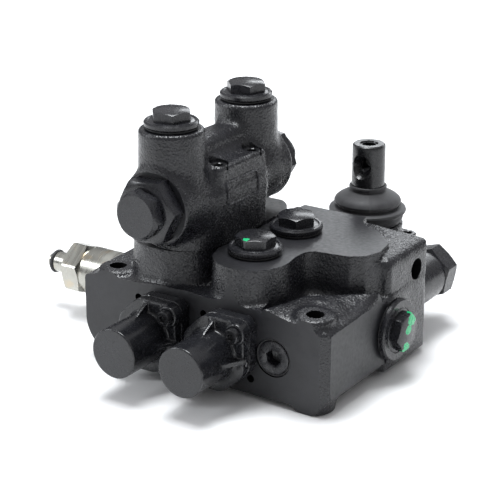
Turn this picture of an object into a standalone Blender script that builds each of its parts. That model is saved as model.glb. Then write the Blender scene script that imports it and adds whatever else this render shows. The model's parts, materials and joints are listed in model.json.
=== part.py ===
"""Hydraulic monoblock valve: two spools, joystick control, and a pilot-operated check block.

Every size below is in millimetres and is turned into metres by MM. Inside the model, X runs
along the machined front face, Y runs back along the spools and Z is up. The valve's own zero
is on the right spool's axis, at the end face of its cap. VALVE_ZERO moves the whole valve so
that the world origin is under the middle of it, at the height of its feet.
"""

import math

import bmesh
import bpy
from mathutils import Vector

MM = 0.001
GAP = 0.3                      # clearance left between touching pieces
SIDES = 24                     # facets round a large cylinder
FINE = 16                      # facets round a bore or a head
MIDDLING = 12                  # facets round a pin
COARSE = 8                     # facets round a thread or an oil way

# Spools
SPOOL_PITCH = 42.0
SPOOL_X = {"left": -SPOOL_PITCH, "right": 0.0}
SPOOL_R = 8.0
FORK_Y = {"left": 165.5, "right": 186.0}

# Valve body casting
LEFT_X, RIGHT_X = -94.0, 60.5
FRONT_Y, REAR_Y = 41.0, 147.5
BOTTOM_Z, FLANGE_Z, DECK_Z = -23.5, 22.0, 43.0
FOOT_Z, PAD_Z = -26.7, 24.8
PAD_R, MOUNT_HOLE_R = 10.5, 4.8
MOUNT_XY = {"left": (-77.1, 50.5), "right": (47.6, 50.5)}
REAR_FOOT_XY = (-21.0, 134.0)

# Ports
MID_Y = 88.0                   # middle of the work ports and of the check block
PORT_HALF_PITCH = 20.0
PORT_BORE_R = 8.5
COLLAR_R, COLLAR_H = 14.4, 3.0
SIDE_COLLAR_R = 17.0
PLUG_HEX_AF, PLUG_HEX_H = 19.0, 5.4
WASHER_H = 0.8
SIDE_PORT_Y = 108.0
FRONT_PLUG_X = 28.5

# Spool caps
CAP_R, CAP_BORE_R = 13.5, 11.0
CAP_FLANGE_Y, SPACER_Y = 28.5, 34.0
CAP_SCREW_OFFSET = (14.6, 14.6)

# Check block casting
BLOCK_X = SPOOL_X["left"]
BLOCK_BASE_Z = DECK_Z + GAP
CROSS_Z = 68.0
CROSS_R, CROSS_HALF_LENGTH = 20.5, 49.5
TOWER_HALF_PITCH, TOWER_R, TOWER_Z = 34.5, 17.2, 107.2
LEDGE_Z, WEB_Z = 86.0, 96.5
BLOCK_SCREW_X, BLOCK_SCREW_Y = 16.0, 15.75

# Relief cartridges
RELIEF_BARREL_R, RELIEF_BARREL_L = 14.0, 32.0
RELIEF_HEX_AF, RELIEF_HEX_L = 27.0, 12.0
RELIEF_THREAD_R, RELIEF_THREAD_L = 10.0, 30.0
RELIEF_STEM_L, RELIEF_NECK_L = 9.0, 9.5
REAR_RELIEF_X, REAR_RELIEF_Z = 42.0, 4.0

# Joystick
LEVER_X, LEVER_Y, LEVER_Z = 0.0, 186.0, 15.0
LEVER_TOP_Z = 72.7
TURRET_R, SPIGOT_R, TURRET_BORE_R = 20.7, 17.6, 15.4
SHOULDER_Z, TURRET_Z = 26.3, 34.0
HOUSING_X = (-63.0, 21.5)
HOUSING_Y = (REAR_Y + GAP, 209.0)
HOUSING_Z = (-17.0, 18.0)
CRANK_Y, CRANK_Z = FORK_Y["left"], LEVER_Z
SIDE_BALL_X = CRANK_Y - LEVER_Y

# The world origin lies under the middle of the valve's box, at the feet.
BOX_X = (LEFT_X - GAP - RELIEF_BARREL_L - RELIEF_HEX_L - RELIEF_NECK_L - RELIEF_STEM_L,
         RIGHT_X + WASHER_H + COLLAR_H + PLUG_HEX_H + 2 * GAP)
BOX_Y = (0.0, HOUSING_Y[1] + 6.0 + GAP)
VALVE_ZERO = Vector((-(BOX_X[0] + BOX_X[1]) / 2, -(BOX_Y[0] + BOX_Y[1]) / 2, -FOOT_Z))

TURN = {
    "+X": (0, math.pi / 2, 0), "-X": (0, -math.pi / 2, 0),
    "+Y": (-math.pi / 2, 0, 0), "-Y": (math.pi / 2, 0, 0),
    "+Z": (0, 0, 0), "-Z": (math.pi, 0, 0),
}
SCENE = {}


# ---------------------------------------------------------------- scene and materials

def clear_scene():
    for old in list(bpy.data.objects):
        bpy.data.objects.remove(old, do_unlink=True)
    for name in ("monoblock_valve", "cutters"):
        SCENE[name] = bpy.data.collections.new(name)
        bpy.context.scene.collection.children.link(SCENE[name])
    zero = bpy.data.objects.new("valve_zero", None)
    zero.location = VALVE_ZERO * MM
    SCENE["monoblock_valve"].objects.link(zero)
    SCENE["zero"] = zero


def material(name, colour, roughness, metallic):
    made = bpy.data.materials.new(name)
    made.use_nodes = True
    shader = made.node_tree.nodes["Principled BSDF"]
    shader.inputs["Base Color"].default_value = (*colour, 1.0)
    shader.inputs["Roughness"].default_value = roughness
    shader.inputs["Metallic"].default_value = metallic
    SCENE[name] = made


def make_materials():
    material("black_paint", (0.035, 0.036, 0.040), 0.38, 0.0)
    material("black_steel", (0.030, 0.031, 0.034), 0.30, 0.6)
    material("zinc", (0.62, 0.62, 0.57), 0.28, 1.0)
    material("ground_steel", (0.45, 0.45, 0.46), 0.22, 1.0)
    material("spring_steel", (0.25, 0.25, 0.26), 0.35, 1.0)
    material("rubber", (0.030, 0.030, 0.032), 0.70, 0.0)


# ---------------------------------------------------------------- shape helpers

def settle(item, at, direction, spin=0.0):
    """Puts an object at a place in the valve's frame, its own Z along the direction."""
    item.parent = SCENE["zero"]
    item.location = Vector(at) * MM
    item.rotation_mode = "XYZ"
    item.rotation_euler = TURN[direction]
    if spin:
        own_axis = item.rotation_euler.to_matrix() @ Vector((0, 0, 1))
        turned = item.rotation_euler.to_matrix().to_4x4()
        from_spin = turned.__class__.Rotation(spin, 4, own_axis)
        item.rotation_euler = (from_spin @ turned).to_euler("XYZ")
    return item


def aim(direction):
    """Unit step along a direction, and the name of the direction back."""
    axis = "XYZ".index(direction[1])
    sign = 1 if direction[0] == "+" else -1
    step = Vector([sign if i == axis else 0 for i in range(3)])
    return step, ("-" if sign > 0 else "+") + direction[1]


def aim_y(sign):
    return "+Y" if sign > 0 else "-Y"


def new_object(name, mesh):
    item = bpy.data.objects.new(name, mesh)
    SCENE["cutters"].objects.link(item)
    item.hide_render = True
    item.display_type = "WIRE"
    return item


def finish_part(item, name, slot, smooth=True):
    """Turns a helper shape into a named piece of the valve with its material."""
    item.name = name
    item.data.name = name
    SCENE["cutters"].objects.unlink(item)
    SCENE["monoblock_valve"].objects.link(item)
    item.hide_render = False
    item.display_type = "TEXTURED"
    item.data.materials.clear()
    item.data.materials.append(SCENE[slot])
    if smooth:
        item.data.shade_smooth()
        item.data.set_sharp_from_angle(angle=math.radians(35))
    return item


def mesh_from(builder, name):
    shape = bmesh.new()
    builder(shape)
    mesh = bpy.data.meshes.new(name)
    shape.to_mesh(mesh)
    shape.free()
    return mesh


def cylinder(radius, length, at, direction="+Z", end_radius=None, sides=SIDES, spin=0.0):
    """A cylinder or cone whose first face is centred on `at`."""
    def build(shape):
        top = radius if end_radius is None else end_radius
        bmesh.ops.create_cone(shape, cap_ends=True, segments=sides, depth=length * MM,
                              radius1=radius * MM, radius2=top * MM)
        bmesh.ops.translate(shape, verts=shape.verts, vec=(0, 0, length * MM / 2))
    return settle(new_object("round", mesh_from(build, "round")), at, direction, spin)


def hexagon(across_flats, length, at, direction="+Z", spin=0.0):
    radius = across_flats / math.sqrt(3)
    return cylinder(radius, length, at, direction, sides=6, spin=spin)


def box(low, high):
    """A box between two corners, with its origin at its centre."""
    size = Vector(high) - Vector(low)
    middle = (Vector(high) + Vector(low)) / 2

    def build(shape):
        bmesh.ops.create_cube(shape, size=MM)
        bmesh.ops.scale(shape, verts=shape.verts, vec=size)
    return settle(new_object("box", mesh_from(build, "box")), middle, "+Z")


def ball(radius, at, rings=6):
    def build(shape):
        bmesh.ops.create_uvsphere(shape, u_segments=2 * rings, v_segments=rings,
                                  radius=radius * MM)
    return settle(new_object("ball", mesh_from(build, "ball")), at, "+Z")


def turned(profile, at, direction="+Z", closed=False, sides=SIDES):
    """A turned shape from (radius, height) points that run down the outer side."""
    mesh = bpy.data.meshes.new("turned")
    count = len(profile)
    edges = [(i, i + 1) for i in range(count - 1)]
    if closed:
        edges.append((count - 1, 0))
    mesh.from_pydata([(r * MM, 0, z * MM) for r, z in profile], edges, [])
    item = settle(new_object("turned", mesh), at, direction)
    screw = item.modifiers.new("turn", "SCREW")
    screw.axis = "Z"
    screw.angle = math.tau
    screw.steps = sides
    screw.render_steps = sides
    screw.use_merge_vertices = True
    screw.merge_threshold = 0.00001
    screw.use_smooth_shade = True
    return item


def ring(inner, outer, height, at, direction="+Z", sides=SIDES):
    profile = [(outer, height), (outer, 0), (inner, 0), (inner, height)]
    return turned(profile, at, direction, closed=True, sides=sides)


def o_ring(middle_radius, cord_radius, at, direction="+Z", sides=FINE, facets=6):
    angles = [-math.tau * i / facets for i in range(facets)]
    profile = [(middle_radius + cord_radius * math.cos(a), cord_radius * math.sin(a))
               for a in angles]
    return turned(profile, at, direction, closed=True, sides=sides)


def rounded(corners, steps=4):
    """Outline points of a polygon given as (x, y, corner radius)."""
    points = []
    count = len(corners)
    for i, (x, y, radius) in enumerate(corners):
        here = Vector((x, y))
        before = (Vector(corners[i - 1][:2]) - here).normalized()
        after = (Vector(corners[(i + 1) % count][:2]) - here).normalized()
        if radius <= 0:
            points.append(here)
            continue
        half = before.angle(after) / 2
        reach = radius / math.tan(half)
        centre = here + (before + after).normalized() * radius / math.sin(half)
        start, end = here + before * reach - centre, here + after * reach - centre
        sweep = start.angle_signed(end)
        for k in range(steps + 1):
            turn = -sweep * k / steps
            cos, sin = math.cos(turn), math.sin(turn)
            points.append(centre + Vector((start.x * cos - start.y * sin,
                                           start.x * sin + start.y * cos)))
    return points


def plate(outline, low, high, direction="+Z"):
    """An outline extruded from low to high along +Z, or along +Y with (x, z) points."""
    curve = bpy.data.curves.new("plate", "CURVE")
    curve.dimensions = "2D"
    curve.fill_mode = "BOTH"
    curve.extrude = (high - low) / 2 * MM
    spline = curve.splines.new("POLY")
    spline.points.add(len(outline) - 1)
    for spot, (u, v) in zip(spline.points, outline):
        along = v if direction == "+Z" else -v
        spot.co = (u * MM, along * MM, 0, 1)
    spline.use_cyclic_u = True
    middle = (low + high) / 2
    at = (0, 0, middle) if direction == "+Z" else (0, middle, 0)
    source = settle(new_object("plate", curve), at, direction)
    bpy.context.view_layer.update()
    solid = source.evaluated_get(bpy.context.evaluated_depsgraph_get())
    mesh = bpy.data.meshes.new_from_object(solid)
    shape = bmesh.new()
    shape.from_mesh(mesh)
    bmesh.ops.remove_doubles(shape, verts=shape.verts, dist=0.00001)
    bmesh.ops.recalc_face_normals(shape, faces=shape.faces)
    shape.to_mesh(mesh)
    shape.free()
    bpy.data.objects.remove(source, do_unlink=True)
    return settle(new_object("plate", mesh), at, direction)


def combine(item, tools, operation):
    for tool in tools:
        step = item.modifiers.new(operation.lower(), "BOOLEAN")
        step.operation = operation
        step.solver = "EXACT"
        step.object = tool
    return item


def join(item, *tools):
    return combine(item, tools, "UNION")


def cut(item, *tools):
    return combine(item, tools, "DIFFERENCE")


def coil(name, middle_radius, wire_radius, turns, length, at, direction):
    """A compression spring: one poly curve round its axis."""
    per_turn = 8
    total = int(turns * per_turn)
    curve = bpy.data.curves.new(name, "CURVE")
    curve.dimensions = "3D"
    curve.bevel_depth = wire_radius * MM
    curve.bevel_resolution = 0
    curve.use_fill_caps = True
    spline = curve.splines.new("POLY")
    spline.points.add(total)
    for i, spot in enumerate(spline.points):
        angle = math.tau * i / per_turn
        height = wire_radius + (length - 2 * wire_radius) * i / total
        spot.co = (middle_radius * math.cos(angle) * MM, middle_radius * math.sin(angle) * MM,
                   height * MM, 1)
    curve.materials.append(SCENE["spring_steel"])
    item = bpy.data.objects.new(name, curve)
    SCENE["monoblock_valve"].objects.link(item)
    return settle(item, at, direction)


# ---------------------------------------------------------------- valve body

def deck_outline():
    """The machined top deck: a lobe under the check block, one round the front port plug
    and one over the side port, with a groove between the first two."""
    return rounded([
        (-72.0, 44.0, 20), (-22.5, 44.0, 10), (-17.5, 58.0, 2), (-14.0, 41.0, 11),
        (22.5, 41.0, 15), (20.0, 74.0, 8), (25.0, 88.0, 8), (54.5, 88.0, 16),
        (54.5, 117.0, 8), (36.0, 133.0, 8), (-10.0, 143.0, 12), (-72.0, 143.0, 20),
    ])


def body_shell():
    """The casting before it is drilled."""
    front = rounded([(LEFT_X, BOTTOM_Z, 18), (RIGHT_X, BOTTOM_Z, 2),
                     (RIGHT_X, FLANGE_Z, 3), (LEFT_X, FLANGE_Z, 14)], steps=5)
    shell = plate(front, FRONT_Y, REAR_Y, "+Y")
    shoulder = box((22.0, 106.0, 0.0), (RIGHT_X - 0.5, REAR_Y - 0.5, 39.0))
    join(shell, plate(deck_outline(), 10.0, DECK_Z), shoulder)
    for x, y in MOUNT_XY.values():
        join(shell, cylinder(PAD_R, PAD_Z - FOOT_Z, (x, y, FOOT_Z)))
    join(shell, cylinder(PAD_R, 12.0, (*REAR_FOOT_XY, FOOT_Z)))
    return shell


def spool_bores():
    return [cylinder(SPOOL_R + GAP, 120.0, (x, FRONT_Y - 5, 0), "+Y", sides=FINE)
            for x in SPOOL_X.values()]


def work_port_bores():
    """Each work port is a threaded bore in the deck that narrows down to its spool."""
    tools = []
    for x in SPOOL_X.values():
        for y in (MID_Y - PORT_HALF_PITCH, MID_Y + PORT_HALF_PITCH):
            tools.append(cylinder(PORT_BORE_R, 24.0, (x, y, DECK_Z - 19), sides=FINE))
            tools.append(cylinder(5.5, 30.0, (x, y, 2.0), sides=COARSE))
    return tools


def gallery_bores():
    """Side port, main relief, rear relief and front gallery, which meet at the spools."""
    return [
        cylinder(PORT_BORE_R, 24.0, (RIGHT_X - 20, SIDE_PORT_Y, 0), "+X", sides=FINE),
        cylinder(5.5, 48.0, (2.0, SIDE_PORT_Y, 0), "+X", sides=COARSE),
        cylinder(RELIEF_THREAD_R + GAP, 40.0, (LEFT_X - 6, MID_Y, 0), "+X", sides=FINE),
        cylinder(4.0, 20.0, (-64.0, MID_Y, 0), "+X", sides=COARSE),
        cylinder(RELIEF_THREAD_R + GAP, 34.0, (REAR_RELIEF_X, REAR_Y + 3, REAR_RELIEF_Z), "-Y", sides=FINE),
        cylinder(10.5, 6.0, (FRONT_PLUG_X, FRONT_Y - 4, 0), "+Y"),
        cylinder(8.0, 20.0, (FRONT_PLUG_X, FRONT_Y - 4, 0), "+Y", sides=FINE),
        cylinder(4.0, 60.0, (FRONT_PLUG_X, FRONT_Y + 10, 0), "+Y", sides=COARSE),
    ]


def side_mount_hole():
    """The stepped hole near the top back corner of the right side."""
    at = (RIGHT_X + 1, 133.5, 25.5)
    return [cylinder(5.8, 9.0, at, "-X", sides=FINE), cylinder(3.6, 20.0, at, "-X", sides=COARSE)]


def screw_holes():
    """Threaded holes for the caps, the check block and the joystick housing."""
    tools = []
    dx, dz = CAP_SCREW_OFFSET
    for x in SPOOL_X.values():
        for sx, sz in ((1, 1), (-1, -1), (-1, 1), (1, -1)):
            tools.append(cylinder(2.5 + GAP, 14.0, (x + sx * dx, FRONT_Y - 1, sz * dz), "+Y",
                                  sides=COARSE))
    for x, y in block_screw_places():
        tools.append(cylinder(3.0 + GAP, 20.0, (x, y, DECK_Z - 17), sides=COARSE))
    for x, z in JOYSTICK_BOLT_XZ.values():
        tools.append(cylinder(3.0 + GAP, 18.0, (x, REAR_Y + 1, z), "-Y", sides=COARSE))
    return tools


def make_valve_body():
    body = body_shell()
    corner = rounded([(57.0, FRONT_Y - 1, 0), (RIGHT_X + 1, FRONT_Y - 1, 0),
                      (RIGHT_X + 1, 47.0, 0)])
    cut(body, plate(corner, -19.5, 60.0))
    cut(body, *spool_bores(), *work_port_bores(), *gallery_bores())
    cut(body, *side_mount_hole(), *screw_holes())
    for x, y in MOUNT_XY.values():
        cut(body, cylinder(MOUNT_HOLE_R, 80.0, (x, y, -40.0), sides=FINE))
    finish_part(body, "valve_body", "black_paint")


# ---------------------------------------------------------------- spools and their caps

def make_spool(side):
    """A spool with metering grooves in front and a fork for its drive ball at the back."""
    x, fork = SPOOL_X[side], FORK_Y[side]
    start, nose = 30.0, 47.5
    spool = turned([(0, fork + 9 - start), (SPOOL_R, fork + 9 - start),
                    (SPOOL_R, 112.0 - start), (5.5, 110.0 - start), (5.5, 102.0 - start),
                    (SPOOL_R, 100.0 - start), (SPOOL_R, 92.0 - start), (5.5, 90.5 - start),
                    (5.5, 84.5 - start), (SPOOL_R, 83.0 - start), (SPOOL_R, 75.0 - start),
                    (5.5, 73.0 - start), (5.5, 65.0 - start), (SPOOL_R, 63.0 - start),
                    (SPOOL_R, nose - start), (6.0, nose - start), (6.0, 0), (0, 0)],
                   (x, start, 0), "+Y", sides=FINE)
    cut(spool,
        box((x - 10, fork - 4.4, -5.0), (x + 10, fork + 4.4, 10.0)),
        box((x - 10, fork - 16.0, 1.0), (x + 10, fork + 12.0, 12.0)),
        cylinder(3.0 + GAP, 16.0, (x, start - 1, 0), "+Y", sides=COARSE))
    finish_part(spool, f"spool_{side}", "ground_steel")


def cap_outline(x, grow=0.0):
    """Flange that reaches out to the two cap screws, upper right and lower left."""
    dx, dz = CAP_SCREW_OFFSET
    u, w = 18.8 + grow, 21.0 + grow
    return rounded([(x - u, -w, 7), (x + 5, -w, 6), (x + u, -3, 6), (x + u, w, 7),
                    (x - 5, w, 6), (x - u, 3, 6)], steps=3)


def cap_rib(x, turn):
    """A thin gusset that grows from the cap's side out to its flange."""
    low, high = Vector((-1.2, 13.0, 9.0)), Vector((1.2, CAP_FLANGE_Y + 1, 19.5))

    def build(shape):
        bmesh.ops.create_cube(shape, size=MM)
        bmesh.ops.scale(shape, verts=shape.verts, vec=high - low)
        bmesh.ops.translate(shape, verts=shape.verts, vec=(high + low) / 2 * MM)
        for vertex in shape.verts:
            if vertex.co.y < 14 * MM and vertex.co.z > 10 * MM:
                vertex.co.z = 12.5 * MM
    rib = settle(new_object("rib", mesh_from(build, "rib")), (x, 0, 0), "+Z")
    rib.rotation_euler = (0, turn, 0)
    return rib


def make_cap(side):
    x = SPOOL_X[side]
    dx, dz = CAP_SCREW_OFFSET
    cap = cylinder(CAP_R, SPACER_Y - GAP, (x, 0, 0), "+Y")
    join(cap, plate(cap_outline(x), CAP_FLANGE_Y, SPACER_Y - GAP, "+Y"))
    join(cap, cap_rib(x, 0.0), cap_rib(x, math.pi / 2))
    cut(cap, cylinder(CAP_BORE_R, 40.0, (x, 2.0, 0), "+Y", sides=FINE))
    for sign in (1, -1):
        at = (x + sign * dx, 18.0, sign * dz)
        cut(cap, cylinder(4.6, CAP_FLANGE_Y - 18.0, at, "+Y", sides=FINE),
            cylinder(2.5 + GAP, 30.0, at, "+Y", sides=COARSE))
    finish_part(cap, f"spool_cap_{side}", "black_paint")


def make_spacer(side):
    x = SPOOL_X[side]
    dx, dz = CAP_SCREW_OFFSET
    spacer = plate(cap_outline(x), SPACER_Y, FRONT_Y - GAP, "+Y")
    cut(spacer, cylinder(CAP_BORE_R, 20.0, (x, 25.0, 0), "+Y", sides=FINE))
    for sign in (1, -1):
        cut(spacer, cylinder(2.5 + GAP, 20.0, (x + sign * dx, 25.0, sign * dz), "+Y", sides=COARSE))
    finish_part(spacer, f"cap_spacer_{side}", "black_paint")


def socket_screw(name, at, direction, head_r, head_h, thread_r, thread_l, socket, slot):
    """Socket-head screw: `at` is under its head, the direction points out of the head."""
    screw = cylinder(head_r, head_h, at, direction, sides=FINE)
    out, back = aim(direction)
    join(screw, cylinder(thread_r, thread_l + 1, Vector(at) + out, back, sides=COARSE))
    cut(screw, hexagon(socket, head_h, Vector(at) + out * head_h * 0.4, direction))
    return finish_part(screw, name, slot)


def make_cap_screws(side):
    x = SPOOL_X[side]
    dx, dz = CAP_SCREW_OFFSET
    for place, sign in (("upper", 1), ("lower", -1)):
        at = (x + sign * dx, CAP_FLANGE_Y - GAP, sign * dz)
        socket_screw(f"cap_screw_{side}_{place}", at, "-Y", 4.25, 5.0, 2.5,
                     FRONT_Y + 11 - CAP_FLANGE_Y, 4.0, "black_steel")


def make_centring(side):
    """Centring spring between the body and a seat held by the spool's end screw."""
    x = SPOOL_X[side]
    finish_part(ring(3.0 + GAP, CAP_BORE_R - GAP, 2.0, (x, 12.9, 0), "+Y", sides=FINE),
                f"spring_seat_{side}", "ground_steel")
    coil(f"centring_spring_{side}", 9.5, 1.0, 4.5, 25.0, (x, 15.3, 0), "+Y")
    screw = cylinder(6.0, 4.0, (x, 8.6, 0), "+Y", sides=FINE)
    join(screw, cylinder(3.0, 30.0, (x, 12.0, 0), "+Y", sides=COARSE))
    cut(screw, hexagon(5.0, 3.0, (x, 7.0, 0), "+Y"))
    finish_part(screw, f"spool_end_screw_{side}", "ground_steel")


# ---------------------------------------------------------------- plugs

def port_plug(name, at, direction, spin, slot="black_paint", collar=COLLAR_R):
    """Hex-head port plug: `at` is on the port's face, under the washer."""
    out, inward = aim(direction)
    seat = Vector(at) + out * (WASHER_H + 2 * GAP)
    plug = cylinder(collar, COLLAR_H, seat, direction)
    middle = seat + out * COLLAR_H / 2
    join(plug,
         hexagon(PLUG_HEX_AF, PLUG_HEX_H + COLLAR_H / 2, middle, direction, spin),
         cylinder(PORT_BORE_R - GAP, 13.0 + COLLAR_H / 2, middle, inward, sides=FINE))
    finish_part(plug, name, slot)
    finish_part(ring(PORT_BORE_R + GAP, collar - 0.4, WASHER_H, Vector(at) + out * GAP,
                     direction, sides=FINE), f"{name}_washer", "rubber")


def make_port_plugs():
    x = SPOOL_X["right"]
    port_plug("deck_plug_front", (x, MID_Y - PORT_HALF_PITCH, DECK_Z), "+Z", math.radians(33))
    port_plug("deck_plug_rear", (x, MID_Y + PORT_HALF_PITCH, DECK_Z), "+Z", math.radians(4))
    port_plug("side_plug", (RIGHT_X, SIDE_PORT_Y, 0), "+X", math.radians(10),
              collar=SIDE_COLLAR_R)
    for place, sign, spin in (("front", -1, 43), ("rear", 1, 49)):
        at = (BLOCK_X, MID_Y + sign * TOWER_HALF_PITCH, TOWER_Z)
        port_plug(f"tower_plug_{place}", at, "+Z", math.radians(spin))


def make_front_plug():
    """Flush socket plug in the front face, in a counterbore."""
    seat = FRONT_Y + 2.0
    plug = cylinder(9.3, 2.2, (FRONT_PLUG_X, seat - 2.2 - GAP, 0), "+Y")
    join(plug, cylinder(8.0 - GAP, 13.0, (FRONT_PLUG_X, seat - 2, 0), "+Y", sides=FINE))
    cut(plug, hexagon(8.0, 8.0, (FRONT_PLUG_X, seat - 4, 0), "+Y"))
    finish_part(plug, "front_gallery_plug", "black_steel")


# ---------------------------------------------------------------- check block

def block_screw_places():
    return [(BLOCK_X + sx * BLOCK_SCREW_X, MID_Y + sy * BLOCK_SCREW_Y)
            for sx in (1, -1) for sy in (-1, 1)]


def make_check_block():
    """Casting with a cross bore, two port towers, a web between them and two bolt ledges."""
    base = rounded([(BLOCK_X - 21.5, MID_Y - 41.5, 21), (BLOCK_X + 21.5, MID_Y - 41.5, 21),
                    (BLOCK_X + 21.5, MID_Y + 33, 21), (BLOCK_X - 21.5, MID_Y + 33, 21)])
    block = plate(base, BLOCK_BASE_Z, CROSS_Z)
    join(block, cylinder(CROSS_R, 2 * CROSS_HALF_LENGTH,
                         (BLOCK_X, MID_Y - CROSS_HALF_LENGTH, CROSS_Z), "+Y"))
    ledge = box((BLOCK_X - 22, MID_Y - 26, 60.0), (BLOCK_X + 22, MID_Y + 26, LEDGE_Z))
    web = box((BLOCK_X - 9.5, MID_Y - 32, 60.0), (BLOCK_X + 8.5, MID_Y + 32, WEB_Z))
    join(block, ledge, web)
    for sign in (-1, 1):
        y = MID_Y + sign * TOWER_HALF_PITCH
        join(block, cylinder(TOWER_R + 1, TOWER_Z - 62.0, (BLOCK_X, y, 62.0),
                             end_radius=TOWER_R))
        cut(block, cylinder(PORT_BORE_R, 45.0, (BLOCK_X, y, CROSS_Z), sides=FINE))
        port_y = MID_Y + sign * PORT_HALF_PITCH
        cut(block, cylinder(5.5, 40.0, (BLOCK_X, port_y, 30.0), sides=COARSE))
        outer = cylinder(10.0 + GAP, 24.0, (BLOCK_X, MID_Y + sign * 27.5, CROSS_Z),
                         aim_y(sign), sides=FINE)
        end = MID_Y + sign * CROSS_HALF_LENGTH
        cut(block, outer, cylinder(19.5, 12.0, (BLOCK_X, end, CROSS_Z), aim_y(sign)))
    cut(block, cylinder(5.5, 60.0, (BLOCK_X, MID_Y - 30, CROSS_Z), "+Y", sides=FINE),
        cylinder(SPOOL_R + GAP, 48.0, (BLOCK_X, MID_Y - 24, CROSS_Z), "+Y", sides=FINE))
    for x, y in block_screw_places():
        cut(block, cylinder(5.4, 20.0, (x, y, LEDGE_Z - 6.5), sides=FINE),
            cylinder(3.0 + GAP, 60.0, (x, y, 35.0), sides=COARSE))
    finish_part(block, "check_block", "black_paint")


def make_block_screws():
    names = ("right_front", "right_rear", "left_front", "left_rear")
    for name, (x, y) in zip(names, block_screw_places()):
        socket_screw(f"block_screw_{name}", (x, y, LEDGE_Z - 6.5 + GAP), "+Z", 5.0, 5.4, 3.0,
                     51.0, 5.0, "black_steel")


def make_check_end(place, sign):
    """One end of the cross bore: outer hex cartridge, inner hex plug, poppet and spring."""
    out, back = aim_y(sign), aim_y(-sign)
    face = MID_Y + sign * (CROSS_HALF_LENGTH + GAP)
    cartridge = hexagon(32.0, 10.0, (BLOCK_X, face, CROSS_Z), out, math.radians(12))
    join(cartridge, cylinder(10.0, 6.0, (BLOCK_X, face + sign, CROSS_Z), back, sides=FINE))
    cut(cartridge, cylinder(6.0 + GAP, 40.0, (BLOCK_X, face - sign * 12, CROSS_Z), out,
                            sides=FINE))
    finish_part(cartridge, f"check_cartridge_{place}", "black_paint")
    step = face + sign * (10.0 + GAP)
    plug = hexagon(24.0, 7.3, (BLOCK_X, step, CROSS_Z), out, math.radians(26))
    join(plug, cylinder(6.0, 10.0, (BLOCK_X, step + sign, CROSS_Z), back, sides=MIDDLING))
    finish_part(plug, f"check_end_plug_{place}", "black_paint")
    seat = MID_Y + sign * 27.5
    poppet = turned([(0, 10.5), (9.9, 10.5), (9.9, 6.2), (4.6, 0.6), (4.6, -1.5), (0, -1.5)],
                    (BLOCK_X, seat, CROSS_Z), out, sides=FINE)
    finish_part(poppet, f"check_poppet_{place}", "ground_steel")
    coil(f"check_spring_{place}", 4.8, 0.7, 4, 12.0, (BLOCK_X, seat + sign * 10.8, CROSS_Z), out)


def make_pilot_piston():
    half, reach = 7.5, 22.0
    piston = turned([(0, reach), (2.5, reach), (2.5, half), (SPOOL_R, half),
                     (SPOOL_R, -half), (2.5, -half), (2.5, -reach), (0, -reach)],
                    (BLOCK_X, MID_Y, CROSS_Z), "+Y", sides=FINE)
    finish_part(piston, "pilot_piston", "ground_steel")


# ---------------------------------------------------------------- relief cartridges

def make_relief(prefix, at, out, slot, spin, neck=0.0):
    """Cartridge with a threaded nose, barrel, hex and adjusting stem with its O-ring."""
    step, back = aim(out)
    start = Vector(at) + step * GAP
    barrel = cylinder(RELIEF_BARREL_R, RELIEF_BARREL_L, start, out)
    hex_at = start + step * RELIEF_BARREL_L
    join(barrel, hexagon(RELIEF_HEX_AF, RELIEF_HEX_L + 1, hex_at - step, out, spin),
         cylinder(RELIEF_THREAD_R, RELIEF_THREAD_L + 1, start + step, back, sides=FINE))
    inner = start - step * (RELIEF_THREAD_L - 6)
    cut(barrel, cylinder(5.5, 120.0, inner, out, sides=MIDDLING),
        cylinder(3.0, 20.0, inner + step, back, sides=COARSE))
    finish_part(barrel, f"{prefix}_body", slot)
    end = hex_at + step * (RELIEF_HEX_L + neck)
    stem = turned([(0, RELIEF_STEM_L), (2.2, RELIEF_STEM_L), (4.6, RELIEF_STEM_L - 1.8),
                   (4.6, 5.2), (4.2, 5.2), (4.2, 2.8), (6.0, 2.6), (6.0, GAP - neck),
                   (5.5 - GAP, GAP - neck), (5.5 - GAP, -20.0 - neck), (0, -20.0 - neck)],
                  end, out, sides=FINE)
    finish_part(stem, f"{prefix}_adjuster", slot)
    finish_part(o_ring(5.7, 1.15, end + step * 4.0, out), f"{prefix}_o_ring", "rubber")
    return inner, step


def make_relief_inner(inner, step, out):
    """The main relief valve's poppet on its seat, and the spring behind it."""
    poppet = turned([(0, 9.0), (5.0, 9.0), (5.0, 3.5), (2.4, 0.8), (2.4, -2.0), (0, -2.0)],
                    inner, out, sides=MIDDLING)
    finish_part(poppet, "relief_poppet", "ground_steel")
    coil("relief_spring", 4.0, 0.8, 5, 36.0, inner + step * 9.3, out)


# ---------------------------------------------------------------- joystick

JOYSTICK_BOLT_XZ = {"left": (-58.5, 2.0), "right": (16.8, -10.0)}
GREASE_XY = (26.5, 186.0)


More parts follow.
